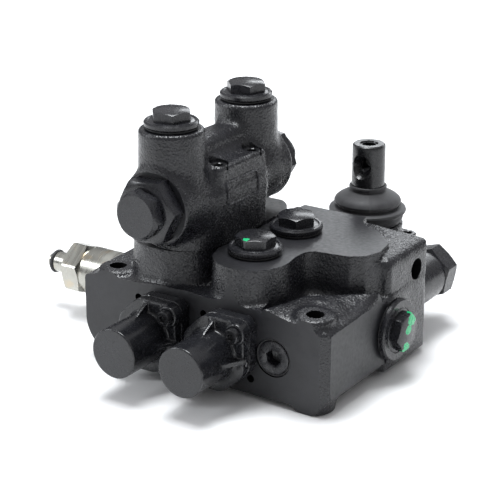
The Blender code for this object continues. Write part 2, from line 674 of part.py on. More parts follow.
def make_housing():
    """Closed box on the valve's back face, with a turret for the lever and a hump over the
    bell crank. Lugs inside carry the gimbal and the bell crank's pin."""
    (x0, x1), (y0, y1), (z0, z1) = HOUSING_X, HOUSING_Y, HOUSING_Z
    foot_print = rounded([(x0, y0, 0), (x1, y0, 0), (x1, y1, 8), (x0, y1, 8)], steps=3)
    hump = rounded([(x0 + 3, 12.0, 0), (-10.0, 12.0, 0), (-10.0, SHOULDER_Z, 3),
                    (x0 + 3, SHOULDER_Z, 9)], steps=3)
    cover = rounded([(-30.0, 12.0, 0), (-10.0, 12.0, 0), (-10.0, SHOULDER_Z, 3),
                     (-30.0, SHOULDER_Z, 5)], steps=3)
    housing = plate(foot_print, z0, z1)
    join(housing, plate(hump, 151.0, 175.0, "+Y"), plate(cover, 165.0, 206.0, "+Y"),
         cylinder(TURRET_R, SHOULDER_Z - 5, (LEVER_X, LEVER_Y, 5.0)),
         cylinder(SPIGOT_R, TURRET_Z - 10, (LEVER_X, LEVER_Y, 10.0)),
         cylinder(SPIGOT_R + 1.4, 3.0, (LEVER_X, LEVER_Y, TURRET_Z - 3)))
    gx, gy = GREASE_XY
    join(housing, box((18.0, gy - 6, 14.4), (gx, gy + 6, z1)),
         cylinder(6.5, z1 - 14.4, (gx, gy, 14.4)))
    cut(housing, box((-54.0, y0 - 2, -12.0), (11.5, 202.0, 13.5)),
        box((-54.0, 156.5, 5.0), (-12.0, 172.5, 24.5)),
        box((-27.5, 160.0, 5.0), (-12.0, 202.0, 25.6)),
        box((-26.0, LEVER_Y - 10, 5.0), (-8.0, LEVER_Y + 12, 25.6)),
        cylinder(TURRET_BORE_R, 40.0, (LEVER_X, LEVER_Y, 8.0)))
    for side in (-1, 1):
        low, high = sorted((side * 9.6, side * 16.2))
        join(housing, box((low, LEVER_Y - 3.5, 9.5), (high, LEVER_Y + 3.5, 24.0)))
        low, high = sorted((side * 10.5, side * 16.2))
        join(housing, box((low, LEVER_Y - 3.5, 22.5), (high, LEVER_Y + 3.5, 27.0)))
    join(housing, box((-15.5, CRANK_Y - 4.5, 9.0), (-10.6, CRANK_Y + 3.2, 25.0)))
    cut(housing, cylinder(2.5 + GAP, 33.5, (-16.8, LEVER_Y, LEVER_Z), "+X", sides=MIDDLING),
        cylinder(2.5 + GAP, 51.0, (-61.0, CRANK_Y, CRANK_Z), "+X", sides=MIDDLING))
    for x, z in JOYSTICK_BOLT_XZ.values():
        cut(housing, cylinder(3.0 + GAP, 80.0, (x, y0 - 5, z), "+Y", sides=MIDDLING))
    cut(housing, cylinder(2.7 + GAP, 20.0, (gx, gy, 5.0), sides=COARSE))
    finish_part(housing, "joystick_housing", "black_paint")


def make_joystick_bolts():
    for place, (x, z) in JOYSTICK_BOLT_XZ.items():
        socket_screw(f"joystick_bolt_{place}", (x, HOUSING_Y[1] + GAP, z), "+Y", 5.0, 6.0, 3.0,
                     HOUSING_Y[1] - REAR_Y + 14.0, 5.0, "black_steel")
    gx, gy = GREASE_XY
    socket_screw("grease_screw", (gx, gy, HOUSING_Z[1] + GAP), "+Z", 5.0, 5.6, 2.7, 3.2, 5.0,
                 "black_steel")


def make_gimbal():
    """Cross block: its X trunnions turn in the housing, its Y pins carry the lever."""
    x, y, z = LEVER_X, LEVER_Y, LEVER_Z
    cross = cylinder(2.5, 30.0, (x - 15.0, y, z), "+X", sides=MIDDLING)
    join(cross, box((x - 4.2, y - 5.5, z - 4.0), (x + 4.2, y + 5.5, z + 4.0)),
         cylinder(2.5, 19.6, (x, y - 9.8, z), "+Y", sides=MIDDLING))
    finish_part(cross, "gimbal_cross", "ground_steel")
    move_origin(cross, (x, y, z))


def move_origin(item, centre):
    """Moves an object's origin to a joint's centre without moving its shape."""
    target = Vector(centre) * MM
    turn = item.rotation_euler.to_matrix()
    shift = turn.inverted() @ (target - item.location)
    for vertex in item.data.vertices:
        vertex.co -= shift
    item.location = target


def make_lever():
    """Lever pin with a tapped end and cross hole, a fork round the gimbal, a drive ball on
    its tail for the right spool and one on its side arm for the bell crank."""
    x, y, z = LEVER_X, LEVER_Y, LEVER_Z
    pin = turned([(0, LEVER_TOP_Z), (7.6, LEVER_TOP_Z), (9.0, LEVER_TOP_Z - 1.4), (9.0, 43.0),
                  (8.0, 42.0), (6.0, 42.0), (6.0, z + 6), (0, z + 6)], (x, y, 0))
    join(pin, box((x - 5.0, y - 10.0, z + 5.5), (x + 5.0, y + 10.0, z + 9.5)))
    for sign in (-1, 1):
        low, high = sorted((y + sign * 6.0, y + sign * 10.0))
        join(pin, box((x - 5.0, low, z - 9.0), (x + 5.0, high, z + 8.0)))
    join(pin, box((x - 5.0, y - 10.0, z - 10.0), (x + 5.0, y + 10.0, z - 5.5)),
         cylinder(2.5, 7.0, (x, y, 0.5), sides=COARSE), ball(4.0, (x, y, 0)),
         box((SIDE_BALL_X - 1.8, y + 6.2, z - 1.9), (x - 3, y + 8.4, z + 1.9)),
         cylinder(1.6, 7.0, (SIDE_BALL_X, y + 0.5, z), "+Y", sides=COARSE),
         ball(3.0, (SIDE_BALL_X, y, z)))
    cut(pin, cylinder(2.5 + GAP, 30.0, (x, y - 15, z), "+Y", sides=MIDDLING),
        cylinder(4.3, 16.0, (x, y, LEVER_TOP_Z - 13.0), sides=FINE),
        cylinder(3.2, 30.0, (x, y - 15, 61.0), "+Y", sides=MIDDLING),
        cylinder(6.5, 5.0, (x, y - 10.0, 61.0), "+Y", end_radius=1.5, sides=FINE))
    finish_part(pin, "lever", "black_steel")
    move_origin(pin, (x, y, z))


def make_bell_crank():
    """Turns the lever's side tilt into travel of the left spool."""
    x, y, z = SPOOL_X["left"], CRANK_Y, CRANK_Z
    crank = cylinder(4.5, 31.0, (x - 6.0, y, z), "+X", sides=FINE)
    join(crank, box((-24.0, y, z - 4.3), (-17.0, LEVER_Y + 1.5, z + 4.3)),
         box((x - 3.5, y - 3.0, 5.0), (x + 3.5, y + 3.0, z)),
         cylinder(2.5, 6.0, (x, y, 0.5), sides=COARSE), ball(4.0, (x, y, 0)))
    cut(crank, box((-30.0, LEVER_Y - 6.0, z - 3.4), (-10.0, LEVER_Y + 6.0, z + 3.4)),
        cylinder(2.5 + GAP, 50.0, (-55.0, y, z), "+X", sides=MIDDLING))
    finish_part(crank, "bell_crank", "ground_steel")
    move_origin(crank, (x, y, z))
    finish_part(cylinder(2.5, 49.5, (-60.7, y, z), "+X", sides=MIDDLING), "bell_crank_pin",
                "ground_steel")


def make_boot():
    """Rubber boot: a bead round the turret, one fold, a dome and a ring round the lever."""
    outer = [(10.7, 48.2), (10.1, 45.3), (16.6, 41.4), (18.4, 38.3), (17.4, 35.6),
             (21.2, 34.6), (21.5, 32.0), (19.8, 27.0)]
    inner = [(18.4, 27.0), (18.6, 30.4), (19.8, 30.9), (19.8, 34.2), (15.4, 34.6),
             (16.2, 38.2), (9.5, 43.6), (9.5, 48.2)]
    boot = turned(outer + inner, (LEVER_X, LEVER_Y, 0), closed=True)
    finish_part(boot, "lever_boot", "rubber")


# ---------------------------------------------------------------- the whole valve

def make_valve():
    clear_scene()
    make_materials()
    make_valve_body()
    for side in SPOOL_X:
        make_spool(side)
        make_cap(side)
        make_spacer(side)
        make_cap_screws(side)
        make_centring(side)
    make_front_plug()
    make_port_plugs()
    make_check_block()
    make_block_screws()
    make_check_end("front", -1)
    make_check_end("rear", 1)
    make_pilot_piston()
    inner, step = make_relief("relief", (LEFT_X, MID_Y, 0), "-X", "zinc", math.radians(20),
                              RELIEF_NECK_L)
    make_relief_inner(inner, step, "-X")
    make_relief("rear_relief", (REAR_RELIEF_X, REAR_Y, REAR_RELIEF_Z), "+Y", "black_paint", 0.0)
    make_housing()
    make_joystick_bolts()
    make_gimbal()
    make_lever()
    make_bell_crank()
    make_boot()


make_valve()
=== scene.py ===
import json
import math

import bmesh
import bpy
import numpy as np
from mathutils import Matrix, Vector


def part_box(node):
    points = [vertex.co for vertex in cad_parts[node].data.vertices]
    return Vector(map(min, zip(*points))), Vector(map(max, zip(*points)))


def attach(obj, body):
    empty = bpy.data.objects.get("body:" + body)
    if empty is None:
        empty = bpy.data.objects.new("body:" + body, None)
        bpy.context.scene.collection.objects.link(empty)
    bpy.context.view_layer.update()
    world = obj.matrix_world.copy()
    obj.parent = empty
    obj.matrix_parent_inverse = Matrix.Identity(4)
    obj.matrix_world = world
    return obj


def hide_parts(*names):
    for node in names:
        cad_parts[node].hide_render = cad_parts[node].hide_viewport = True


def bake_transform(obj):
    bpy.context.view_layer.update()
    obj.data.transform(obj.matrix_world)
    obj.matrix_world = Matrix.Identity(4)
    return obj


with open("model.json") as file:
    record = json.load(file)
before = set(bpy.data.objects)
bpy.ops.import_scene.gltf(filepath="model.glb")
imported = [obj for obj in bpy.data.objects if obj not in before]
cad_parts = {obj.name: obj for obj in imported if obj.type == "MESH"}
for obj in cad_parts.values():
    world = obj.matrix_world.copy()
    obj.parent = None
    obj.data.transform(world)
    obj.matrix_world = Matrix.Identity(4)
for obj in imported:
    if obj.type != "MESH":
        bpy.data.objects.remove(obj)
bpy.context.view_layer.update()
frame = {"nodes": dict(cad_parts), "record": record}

# ------------------------------ the valve's own frame
# Everything below is in millimetres from the right spool's axis at its cap's end face:
# X runs along the front face, Y back along the spools, Z up.

MM = 0.001


SPOOL_R = 8.0
spool_low, spool_high = [Vector(corner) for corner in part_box("spool_right")]
cap_low = Vector(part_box("spool_cap_right")[0])
ZERO = Vector(((spool_low.x + spool_high.x) / 2, cap_low.y, spool_low.z + SPOOL_R * MM))

# the body's faces, and the holes and ports in them
SPOOL_X = {"left": -42.0, "right": 0.0}
FRONT_Y, REAR_Y, LEFT_X, RIGHT_X = 41.0, 147.5, -94.0, 60.5
DECK_Z, FOOT_Z = 43.0, -26.7
MOUNTS = ((-77.1, 50.5), (47.6, 50.5))
PORT_YS = {"front": 68.0, "rear": 108.0}
SIDE_PORT_Y, GALLERY_X = 108.0, 28.5
SIDE_HOLE = (133.6, 25.5)
CAP_SCREW = 14.6

# the check block: its middle, its two towers and the checks at its ends
BLOCK_X, MID_Y, CROSS_Z = -42.0, 88.0, 68.0
TOWER_Y, TOWER_TOP, CHECK_Y = 34.5, 107.2, 49.5
BLOCK_SCREW_X, BLOCK_SCREW_Y = 16.0, 15.75

# behind the body: the second relief, and the joystick with the lever's pivot
REAR_RELIEF = (42.0, REAR_Y, 4.0)
LEVER = (0.0, 186.0, 15.0)
SIDE_BALL_X, CRANK_Y = -20.5, 165.5
HOUSING_BOLTS = {"left": (-58.5, 2.0), "right": (16.8, -10.0)}
GREASE_X = 26.5

# how finely castings are drawn, and the angle above which an edge stays sharp
CAST_STEP, FINE_STEP = 1.0, 0.55
SHARP = math.radians(32)


# ------------------------------ materials

def nodes_of(name):
    """A new material, its nodes, its shader and the coordinates its patterns use."""
    made = bpy.data.materials.new(name)
    made.use_nodes = True
    tree = made.node_tree
    shader = tree.nodes["Principled BSDF"]
    coords = tree.nodes.new("ShaderNodeTexCoord").outputs["Object"]
    return made, tree, shader, coords


def add(tree, kind, inputs, result, **settings):
    """Adds a node, sets or links its inputs, and gives its output."""
    made = tree.nodes.new("ShaderNode" + kind)
    for name, value in settings.items():
        setattr(made, name, value)
    for socket, value in inputs.items():
        if isinstance(value, bpy.types.NodeSocket):
            tree.links.new(value, made.inputs[socket])
        else:
            made.inputs[socket].default_value = value
    return made.outputs[result]


def noise(tree, coords, scale, detail=3.0, rough=0.55, stretch=None):
    if stretch:
        coords = add(tree, "Mapping", {"Vector": coords, "Scale": stretch}, "Vector")
    return add(tree, "TexNoise", {"Vector": coords, "Scale": scale, "Detail": detail,
                                  "Roughness": rough}, "Fac")


def ramp(tree, value, low, high, low_colour, high_colour):
    """A colour that runs from one to the other as a value goes from low to high."""
    made = tree.nodes.new("ShaderNodeValToRGB")
    first, last = made.color_ramp.elements
    first.position, last.position = low, high
    first.color, last.color = (*low_colour, 1), (*high_colour, 1)
    tree.links.new(value, made.inputs["Fac"])
    return made.outputs["Color"]


def remap(tree, value, low, high, to_low, to_high):
    return add(tree, "MapRange", {"Value": value, "From Min": low, "From Max": high,
                                  "To Min": to_low, "To Max": to_high}, "Result")


def blend_colour(tree, factor, first, second):
    made = tree.nodes.new("ShaderNodeMix")
    made.data_type = "RGBA"
    tree.links.new(factor, made.inputs["Factor"])
    tree.links.new(first, made.inputs["A"])
    made.inputs["B"].default_value = (*second, 1)
    return made.outputs["Result"]


def bump(tree, height, distance, strength, before=None):
    inputs = {"Height": height, "Distance": distance * MM, "Strength": strength}
    if before:
        inputs["Normal"] = before
    return add(tree, "Bump", inputs, "Normal")


def edge_wear(tree, low, high):
    """1 on convex edges where paint is thin and shiny, 0 elsewhere."""
    geometry = tree.nodes.new("ShaderNodeNewGeometry")
    return remap(tree, geometry.outputs["Pointiness"], low, high, 0, 1)


def painted(name, colour, rough, peel=0.0, peel_mm=1.6, lines=None, line_depth=0.0,
            edges=None, worn=(0.22, 0.22, 0.23), gloss=0.5, daubs=()):
    """Satin paint over metal, with as-cast orange peel, machining lines and bright edges."""
    made, tree, shader, coords = nodes_of(name)
    blotch = noise(tree, coords, 60, 4)
    dark = tuple(c * 0.75 for c in colour)
    light = tuple(c * 1.35 for c in colour)
    base = ramp(tree, blotch, 0.3, 0.7, dark, light)
    fine = noise(tree, coords, 500, 4)
    if edges:
        wear = edge_wear(tree, *edges)
        speck = remap(tree, fine, 0.35, 0.62, 0.15, 1.0)
        wear = add(tree, "Math", {0: wear, 1: speck}, "Value", operation="MULTIPLY")
        base = blend_colour(tree, wear, base, worn)
    for centre, radius in daubs:
        reach = radius * MM
        away = add(tree, "VectorMath", {0: coords, 1: Vector(centre) * MM + ZERO}, "Value",
                   operation="DISTANCE")
        faded = remap(tree, away, reach * 0.4, reach * 1.2, 0.4, -0.4)
        ragged = add(tree, "Math", {0: faded, 1: noise(tree, coords, 330, 4, 0.65)}, "Value",
                     operation="ADD")
        base = blend_colour(tree, remap(tree, ragged, 0.5, 0.53, 0, 1), base,
                            (0.010, 0.46, 0.17))
    tree.links.new(base, shader.inputs["Base Color"])
    tree.links.new(remap(tree, fine, 0.25, 0.75, rough - 0.08, rough + 0.12),
                   shader.inputs["Roughness"])
    shader.inputs["Specular IOR Level"].default_value = gloss
    if peel:
        coarse = noise(tree, coords, 1000 / peel_mm / 2.4, 3, 0.5)
        grain = noise(tree, coords, 1000 / peel_mm, 2, 0.45)
        normal = bump(tree, coarse, 0.8 * peel_mm, peel * 0.22)
        normal = bump(tree, grain, 0.8 * peel_mm, peel * 0.5, normal)
    else:
        normal = bump(tree, noise(tree, coords, 260, 3), 0.12, 0.4)
    if lines:
        stripe = noise(tree, coords, 1.0, 2, 0.5, lines)
        normal = bump(tree, stripe, line_depth, 0.5, normal)
    tree.links.new(normal, shader.inputs["Normal"])
    return made


def bare_metal(name, dark, light, rough, lines, depth=0.02, stain=None):
    """Cloudy metal with fine turning lines, and stains if they have a colour."""
    made, tree, shader, coords = nodes_of(name)
    cloud = noise(tree, coords, 45, 4)
    base = ramp(tree, cloud, 0.3, 0.7, dark, light)
    if stain:
        patch = remap(tree, noise(tree, coords, 130, 3), 0.56, 0.68, 0, 0.55)
        base = blend_colour(tree, patch, base, stain)
    tree.links.new(base, shader.inputs["Base Color"])
    shader.inputs["Metallic"].default_value = 1.0
    stripe = noise(tree, coords, 1.0, 3, 0.6, lines)
    tree.links.new(remap(tree, stripe, 0.3, 0.7, rough - 0.08, rough + 0.1),
                   shader.inputs["Roughness"])
    tree.links.new(bump(tree, stripe, depth, 0.6), shader.inputs["Normal"])
    return made


def rubber(name):
    """Dull moulded rubber with a little dust."""
    made, tree, shader, coords = nodes_of(name)
    dust = noise(tree, coords, 180, 5, 0.6)
    tree.links.new(ramp(tree, dust, 0.35, 0.75, (0.022, 0.022, 0.024), (0.05, 0.05, 0.053)),
                   shader.inputs["Base Color"])
    tree.links.new(remap(tree, dust, 0.3, 0.7, 0.5, 0.68), shader.inputs["Roughness"])
    shader.inputs["Specular IOR Level"].default_value = 0.4
    shader.inputs["Sheen Weight"].default_value = 0.15
    shader.inputs["Sheen Roughness"].default_value = 0.5
    tree.links.new(bump(tree, noise(tree, coords, 1500, 3), 0.03, 0.5), shader.inputs["Normal"])
    return made


PAINT = (0.011, 0.0112, 0.0135)
GREEN_DABS = (((70.0, 112.0, 6.5), 5.5), ((70.0, 108.0, 1.5), 3.5),
              ((70.0, 106.0, -8.0), 4.0), ((0.0, 59.5, 52.5), 2.2))
MAT = {
    "cast": painted("cast_paint", PAINT, 0.24, peel=1.0, peel_mm=1.1, edges=(0.54, 0.62),
                    worn=(0.07, 0.07, 0.08)),
    "front": painted("machined_front_paint", PAINT, 0.40, lines=(1400, 1400, 30),
                     line_depth=0.03),
    "deck": painted("machined_deck_paint", PAINT, 0.38, lines=(30, 1400, 1400),
                    line_depth=0.012),
    # bore: holes get a darker colour than the paint, painted shade deep inside them
    "bore": painted("bore_painted_shade", (0.003, 0.003, 0.0035), 0.6, gloss=0.12),
    "smooth": painted("smooth_paint", PAINT, 0.28),
    "hex": painted("fitting_paint", PAINT, 0.26),
    "daubed": painted("fitting_paint_daubed", PAINT, 0.26, daubs=GREEN_DABS),
    "cap": painted("cap_paint", (0.010, 0.0104, 0.0125), 0.22, edges=(0.54, 0.60),
                   worn=(0.42, 0.42, 0.43)),
    "screw": painted("black_oxide", (0.009, 0.0092, 0.0105), 0.26),
    "zinc": bare_metal("zinc_plate", (0.34, 0.335, 0.305), (0.46, 0.455, 0.415), 0.27,
                       (260, 30, 30), depth=0.01, stain=(0.50, 0.42, 0.30)),
    "ground": bare_metal("ground_steel", (0.36, 0.36, 0.37), (0.55, 0.55, 0.56), 0.2,
                         (30, 1500, 30)),
    "spring": bare_metal("spring_wire", (0.16, 0.16, 0.17), (0.3, 0.3, 0.31), 0.3,
                         (200, 200, 200)),
    "rubber": rubber("moulded_rubber"),
}


# ------------------------------ mesh helpers

def make(name, verts, faces, slot, sharp=SHARP):
    """An object from points in the valve's millimetres."""
    mesh = bpy.data.meshes.new(name)
    points = np.asarray(verts, dtype=float) * MM + np.array(ZERO)
    mesh.from_pydata(points.tolist(), [], [list(f) for f in faces])
    mesh.materials.append(MAT[slot])
    mesh.shade_smooth()
    mesh.set_sharp_from_angle(angle=sharp)
    face_outward(mesh)
    made = bpy.data.objects.new(name, mesh)
    bpy.context.scene.collection.objects.link(made)
    return made


def vertices(mesh):
    """A mesh's points as an array of their own."""
    points = np.empty(len(mesh.vertices) * 3)
    mesh.vertices.foreach_get("co", points)
    return points.reshape(-1, 3)


def face_outward(mesh):
    shape = bmesh.new()
    shape.from_mesh(mesh)
    bmesh.ops.recalc_face_normals(shape, faces=shape.faces)
    shape.to_mesh(mesh)
    shape.free()


def give(piece, body, slot, *replaced):
    """Hangs a finished piece on its body, instead of the CAD nodes it covers."""
    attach(piece, body)
    if replaced:
        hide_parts(*replaced)
    return piece


def frame_for(direction):
    """Two side axes and the axis itself, for a direction such as "-X"."""
    axis = np.zeros(3)
    axis["XYZ".index(direction[1])] = 1 if direction[0] == "+" else -1
    side = np.roll(np.abs(axis), 1)
    return side, np.cross(axis, side), axis


def hexagon(across_flats, spin=0.0, limit=None):
    """Distance to a hexagon's side at each angle, clipped by a circle if there is a limit."""
    def reach(angle):
        part = np.mod(angle - spin, math.pi / 3) - math.pi / 6
        found = across_flats / 2 / np.cos(part)
        return found if limit is None else np.minimum(found, limit)
    return reach


def loft(name, rings, at, direction, slot, body=None, sides=72, sharp=SHARP):
    """A closed solid through rings of (radius or outline, height) along an axis.

    A height may be a function of the radius, as a chamfered hexagon's top is."""
    side, other, axis = frame_for(direction)
    theta = np.arange(sides) * math.tau / sides
    points, faces = [], []
    for radius, height in rings:
        reach = radius(theta) if callable(radius) else np.full(sides, float(radius))
        rise = height(reach) if callable(height) else np.full(sides, float(height))
        points.append(np.array(at)[None, :] + np.outer(reach * np.cos(theta), side)
                      + np.outer(reach * np.sin(theta), other) + np.outer(rise, axis))
    for a in range(0, (len(rings) - 1) * sides, sides):
        for i in range(sides):
            j = (i + 1) % sides
            faces.append((a + i, a + sides + i, a + sides + j, a + j))
    last = (len(rings) - 1) * sides
    faces.append(tuple(range(sides)))
    faces.append(tuple(reversed(range(last, last + sides))))
    made = make(name, np.concatenate(points), faces, slot, sharp)
    if body:
        give(made, body, slot)
    return made


def hex_steps(across_flats, base, top, spin=0.0, chamfer=30.0, turned=0.96):
    """Rings of a hexagon head whose corners are turned off at an angle."""
    flat_r = across_flats / 2 * turned
    slope = math.tan(math.radians(chamfer))
    side = hexagon(across_flats, spin)

    def shoulder(reach):
        return top - np.maximum(reach - flat_r, 0) * slope
    return [(side, base), (side, shoulder), (flat_r, top)]


def combine(piece, others, operation):
    """Cuts the others out of a piece, or joins them to it, and removes them."""
    for other in others:
        step = piece.modifiers.new("combine", "BOOLEAN")
        step.operation = operation
        step.solver = "MANIFOLD"
        step.object = other
        if operation == "DIFFERENCE":
            step.material_mode = "TRANSFER"
    graph = bpy.context.evaluated_depsgraph_get()
    mesh = bpy.data.meshes.new_from_object(piece.evaluated_get(graph))
    piece.modifiers.clear()
    old = piece.data
    piece.data = mesh
    bpy.data.meshes.remove(old)
    for other in others:
        bpy.data.objects.remove(other, do_unlink=True)


def cut(piece, *tools):
    """Cuts tools out of a piece. Cut faces keep the tools' materials, machined ones flat."""
    combine(piece, tools, "DIFFERENCE")
    mesh = piece.data
    mesh.shade_smooth()
    mesh.set_sharp_from_angle(angle=SHARP)
    flat = {MAT["front"], MAT["deck"]}
    for face in mesh.polygons:
        if mesh.materials[face.material_index] in flat:
            face.use_smooth = False


def drill(radius, length, at, direction, slot="bore", sides=40, end_radius=None):
    end = radius if end_radius is None else end_radius
    return loft("tool", [(radius, 0), (end, length)], at, direction, slot, None, sides)


def slab(low, high, slot):
    """A cutting block, whose material is left on the face it cuts."""
    (x0, y0, z0), (x1, y1, z1) = low, high
    verts = [(x, y, z) for x in (x0, x1) for y in (y0, y1) for z in (z0, z1)]
    faces = [(0, 1, 3, 2), (4, 6, 7, 5), (0, 4, 5, 1), (2, 3, 7, 6), (0, 2, 6, 4), (1, 5, 7, 3)]
    return make("tool", verts, faces, slot)


# ------------------------------ castings as distance fields

def smin(a, b, k):
    """The union of two solids with a fillet about k wide."""
    h = np.maximum(k - np.abs(a - b), 0) / k
    return np.minimum(a, b) - h * h * k / 4


def smax(a, b, k):
    """The overlap of two solids with its edges rounded by about k."""
    return -smin(-a, -b, k)


def rounded(a, b, radius):
    """Distance to a rounded corner, from the distances past its two sides moved in."""
    inside = np.minimum(np.maximum(a, b), 0)
    return inside + np.hypot(np.maximum(a, 0), np.maximum(b, 0)) - radius


def box_2d(u, v, u0, u1, v0, v1, radius):
    qu = np.abs(u - (u0 + u1) / 2) - (u1 - u0) / 2 + radius
    qv = np.abs(v - (v0 + v1) / 2) - (v1 - v0) / 2 + radius
    return rounded(qu, qv, radius)


def box_3d(x, y, z, low, high, radius):
    q = [np.abs(c - (a + b) / 2) - (b - a) / 2 + radius
         for c, a, b in zip((x, y, z), low, high)]
    outside = np.sqrt(sum(np.maximum(c, 0) ** 2 for c in q))
    return np.minimum(np.maximum(np.maximum(q[0], q[1]), q[2]), 0) + outside - radius


def disc(u, v, cu, cv, radius):
    return np.hypot(u - cu, v - cv) - radius


def column(x, y, z, cx, cy, radius, low, high, rim, taper=0.0):
    """An upright cylinder with rounded rims."""
    side = disc(x, y, cx, cy, radius - rim) - taper * (high - z)
    end = np.abs(z - (low + high) / 2) - (high - low) / 2 + rim
    return rounded(side, end, rim)


def polygon(u, v, points):
    """Signed distance to a closed outline."""
    best = np.full(np.shape(u), 1e9)
    inside = np.zeros(np.shape(u), dtype=bool)
    for (u0, v0), (u1, v1) in zip(points, points[1:] + points[:1]):
        du, dv = u1 - u0, v1 - v0
        t = np.clip(((u - u0) * du + (v - v0) * dv) / (du * du + dv * dv), 0, 1)
        best = np.minimum(best, np.hypot(u - u0 - t * du, v - v0 - t * dv))
        crosses = (v0 > v) != (v1 > v)
        slope = du / dv if dv else 0.0
        inside ^= crosses & (u < u0 + (v - v0) * slope)
    return np.where(inside, -best, best)


def contour(field, low, high, step):
    """The surface where a field is zero, as points and quads, settled onto the surface."""
    axes = [np.arange(a, b + step, step) for a, b in zip(low, high)]
    gx, gy, gz = np.meshgrid(*axes, indexing="ij")
    f = field(gx, gy, gz)
    n = np.array(f.shape)
    near = [(i, j, k) for i in (0, 1) for j in (0, 1) for k in (0, 1)]

    def corner(i, j, k):
        return f[i:n[0] - 1 + i, j:n[1] - 1 + j, k:n[2] - 1 + k]
    signs = np.stack([corner(*c) < 0 for c in near])
    active = signs.any(0) & ~signs.all(0)
    cell = np.full(active.shape, -1, dtype=np.int64)
    where = np.argwhere(active)
    cell[active] = np.arange(len(where))
    values = np.stack([corner(*c)[active] for c in near], axis=1)
    total, weight = np.zeros((len(where), 3)), np.zeros(len(where))
    for p, a in enumerate(near):
        for q, b in enumerate(near):
            if q > p and sum(abs(np.subtract(a, b))) == 1:
                fa, fb = values[:, p], values[:, q]
                crossing = (fa < 0) != (fb < 0)
                t = np.where(crossing, fa / np.where(crossing, fa - fb, 1), 0)
                spot = np.array(a)[None] + t[:, None] * np.subtract(b, a)[None]
                total += np.where(crossing[:, None], spot, 0)
                weight += crossing
    points = (where + total / weight[:, None]) * step + np.array(low)
    quads = []
    for axis in range(3):
        a = [slice(1, -1)] * 3
        b = [slice(1, -1)] * 3
        a[axis], b[axis] = slice(0, -1), slice(1, None)
        fa, fb = f[tuple(a)] < 0, f[tuple(b)] < 0
        edges = np.argwhere(fa != fb)
        flip = fa[fa != fb]
        u, v = [i for i in range(3) if i != axis]
        offset = np.ones(3, dtype=int)
        offset[axis] = 0
        base = edges + offset
        ring = []
        for du, dv in ((0, 0), (-1, 0), (-1, -1), (0, -1)):
            spot = base.copy()
            spot[:, u] += du
            spot[:, v] += dv
            ring.append(cell[spot[:, 0], spot[:, 1], spot[:, 2]])
        quad = np.stack(ring, axis=1)
        turn = flip if axis != 1 else ~flip
        quads.append(np.where(turn[:, None], quad, quad[:, ::-1]))
    quads = np.concatenate(quads)
    eps = step * 0.25
    for _ in range(3):
        x, y, z = points.T
        here = field(x, y, z)
        slope = np.stack([field(x + eps, y, z) - field(x - eps, y, z),
                          field(x, y + eps, z) - field(x, y - eps, z),
                          field(x, y, z + eps) - field(x, y, z - eps)], axis=1) / (2 * eps)
        move = -here[:, None] * slope / np.maximum((slope ** 2).sum(1), 0.05)[:, None]
        length = np.linalg.norm(move, axis=1)[:, None]
        points = points + move * np.minimum(1, step * 0.4 / np.maximum(length, 1e-9))
    return points, quads


def casting(name, field, low, high, step, slot):
    points, quads = contour(field, low, high, step)
    return make(name, points, quads, slot)


def lumps(x, y, z, size):
    """Slow waviness of a sand-cast skin, in millimetres."""
    return size * (np.sin(x * 0.31 + 1.3 * np.sin(y * 0.17)) * np.sin(y * 0.27 + z * 0.21)
                   + 0.6 * np.sin(z * 0.43 + x * 0.23) * np.sin(y * 0.39 + 2.0))


# ------------------------------ the valve body

def deck_field(x, y):
    """Outline of the raised deck: two front lobes with a groove between, and a side lobe."""
    left = box_2d(x, y, -72.0, -22.5, 44.0, 150.0, 22.0)
    front = disc(x, y, 2.0, 62.0, 20.5)
    neck = box_2d(x, y, -19.0, 21.0, 60.0, 150.0, 3.0)
    side = polygon(x, y, [(10, 89.5), (27.8, 89.6), (43.0, 91.9), (48.2, 96.2), (51.2, 104.4),
                          (48.7, 117.4), (35.8, 129.4), (8.0, 142.0), (-10, 142.0)]) - 2.6
    right = smin(smin(front, neck, 3.0), side, 9.0)
    return smin(left, right, 5.0)


RIDGE = [(22.0, 36.0), (26.5, 50.0), (31.5, 68.0), (46.0, 79.5), (58.6, 90.5), (66.0, 95.0)]


def path_gap(x, y, points):
    """Distance in plan to an open line through points."""
    best = np.full(np.shape(x), 1e9)
    for (x0, y0), (x1, y1) in zip(points, points[1:]):
        dx, dy = x1 - x0, y1 - y0
        t = np.clip(((x - x0) * dx + (y - y0) * dy) / (dx * dx + dy * dy), 0, 1)
        best = np.minimum(best, np.hypot(x - x0 - t * dx, y - y0 - t * dy))
    return best


def flange_height(x, y):
    """Height of the as-cast flange round the deck: a sloping skirt rises from the front
    right edges to a ridge, and a valley lies between the ridge and the deck's wall."""
    front = np.interp(x, [-94, -90, -82, -56, -26, 6, 26, 38, 52, 62],
                      [19.8, 20.4, 22.2, 22.5, 25, 22.4, 25.0, 22, 18, 17.5])
    side = np.interp(y, [41, 89, 96, 106, 150], [17.5, 19.6, 22.5, 25.5, 27.0])
    inland = np.clip((y - 46) / 16, 0, 1)
    level = front * (1 - inland) + 21.5 * inland
    to_ridge = path_gap(x, y, RIDGE)
    from_front, from_side = np.maximum(y - 41, 0), np.maximum(60.5 - x, 0)
    edge = (front * from_side + side * from_front) / (from_front + from_side + 1e-6)
    rise = np.minimum(from_front, from_side)
    share = rise / (rise + to_ridge + 1e-6)
    skirt = edge + (25.6 - edge) * share ** 0.55
    inside = polygon(x, y, RIDGE + [(70.0, 95.0), (70.0, 30.0), (22.0, 30.0)]) < 0
    fall = np.clip(to_ridge / 5.0, 0, 1)
    fall = fall * fall * (3 - 2 * fall)
    behind = 25.6 * (1 - fall) + 18.5 * fall
    behind = np.where(x > 20, behind, level * fall + np.maximum(level, 23.5) * (1 - fall))
    return np.where(inside, skirt, behind)


BODY_MID_X, BODY_HALF_X, LEFT_REACH = -16.0, 78.0, 76.7


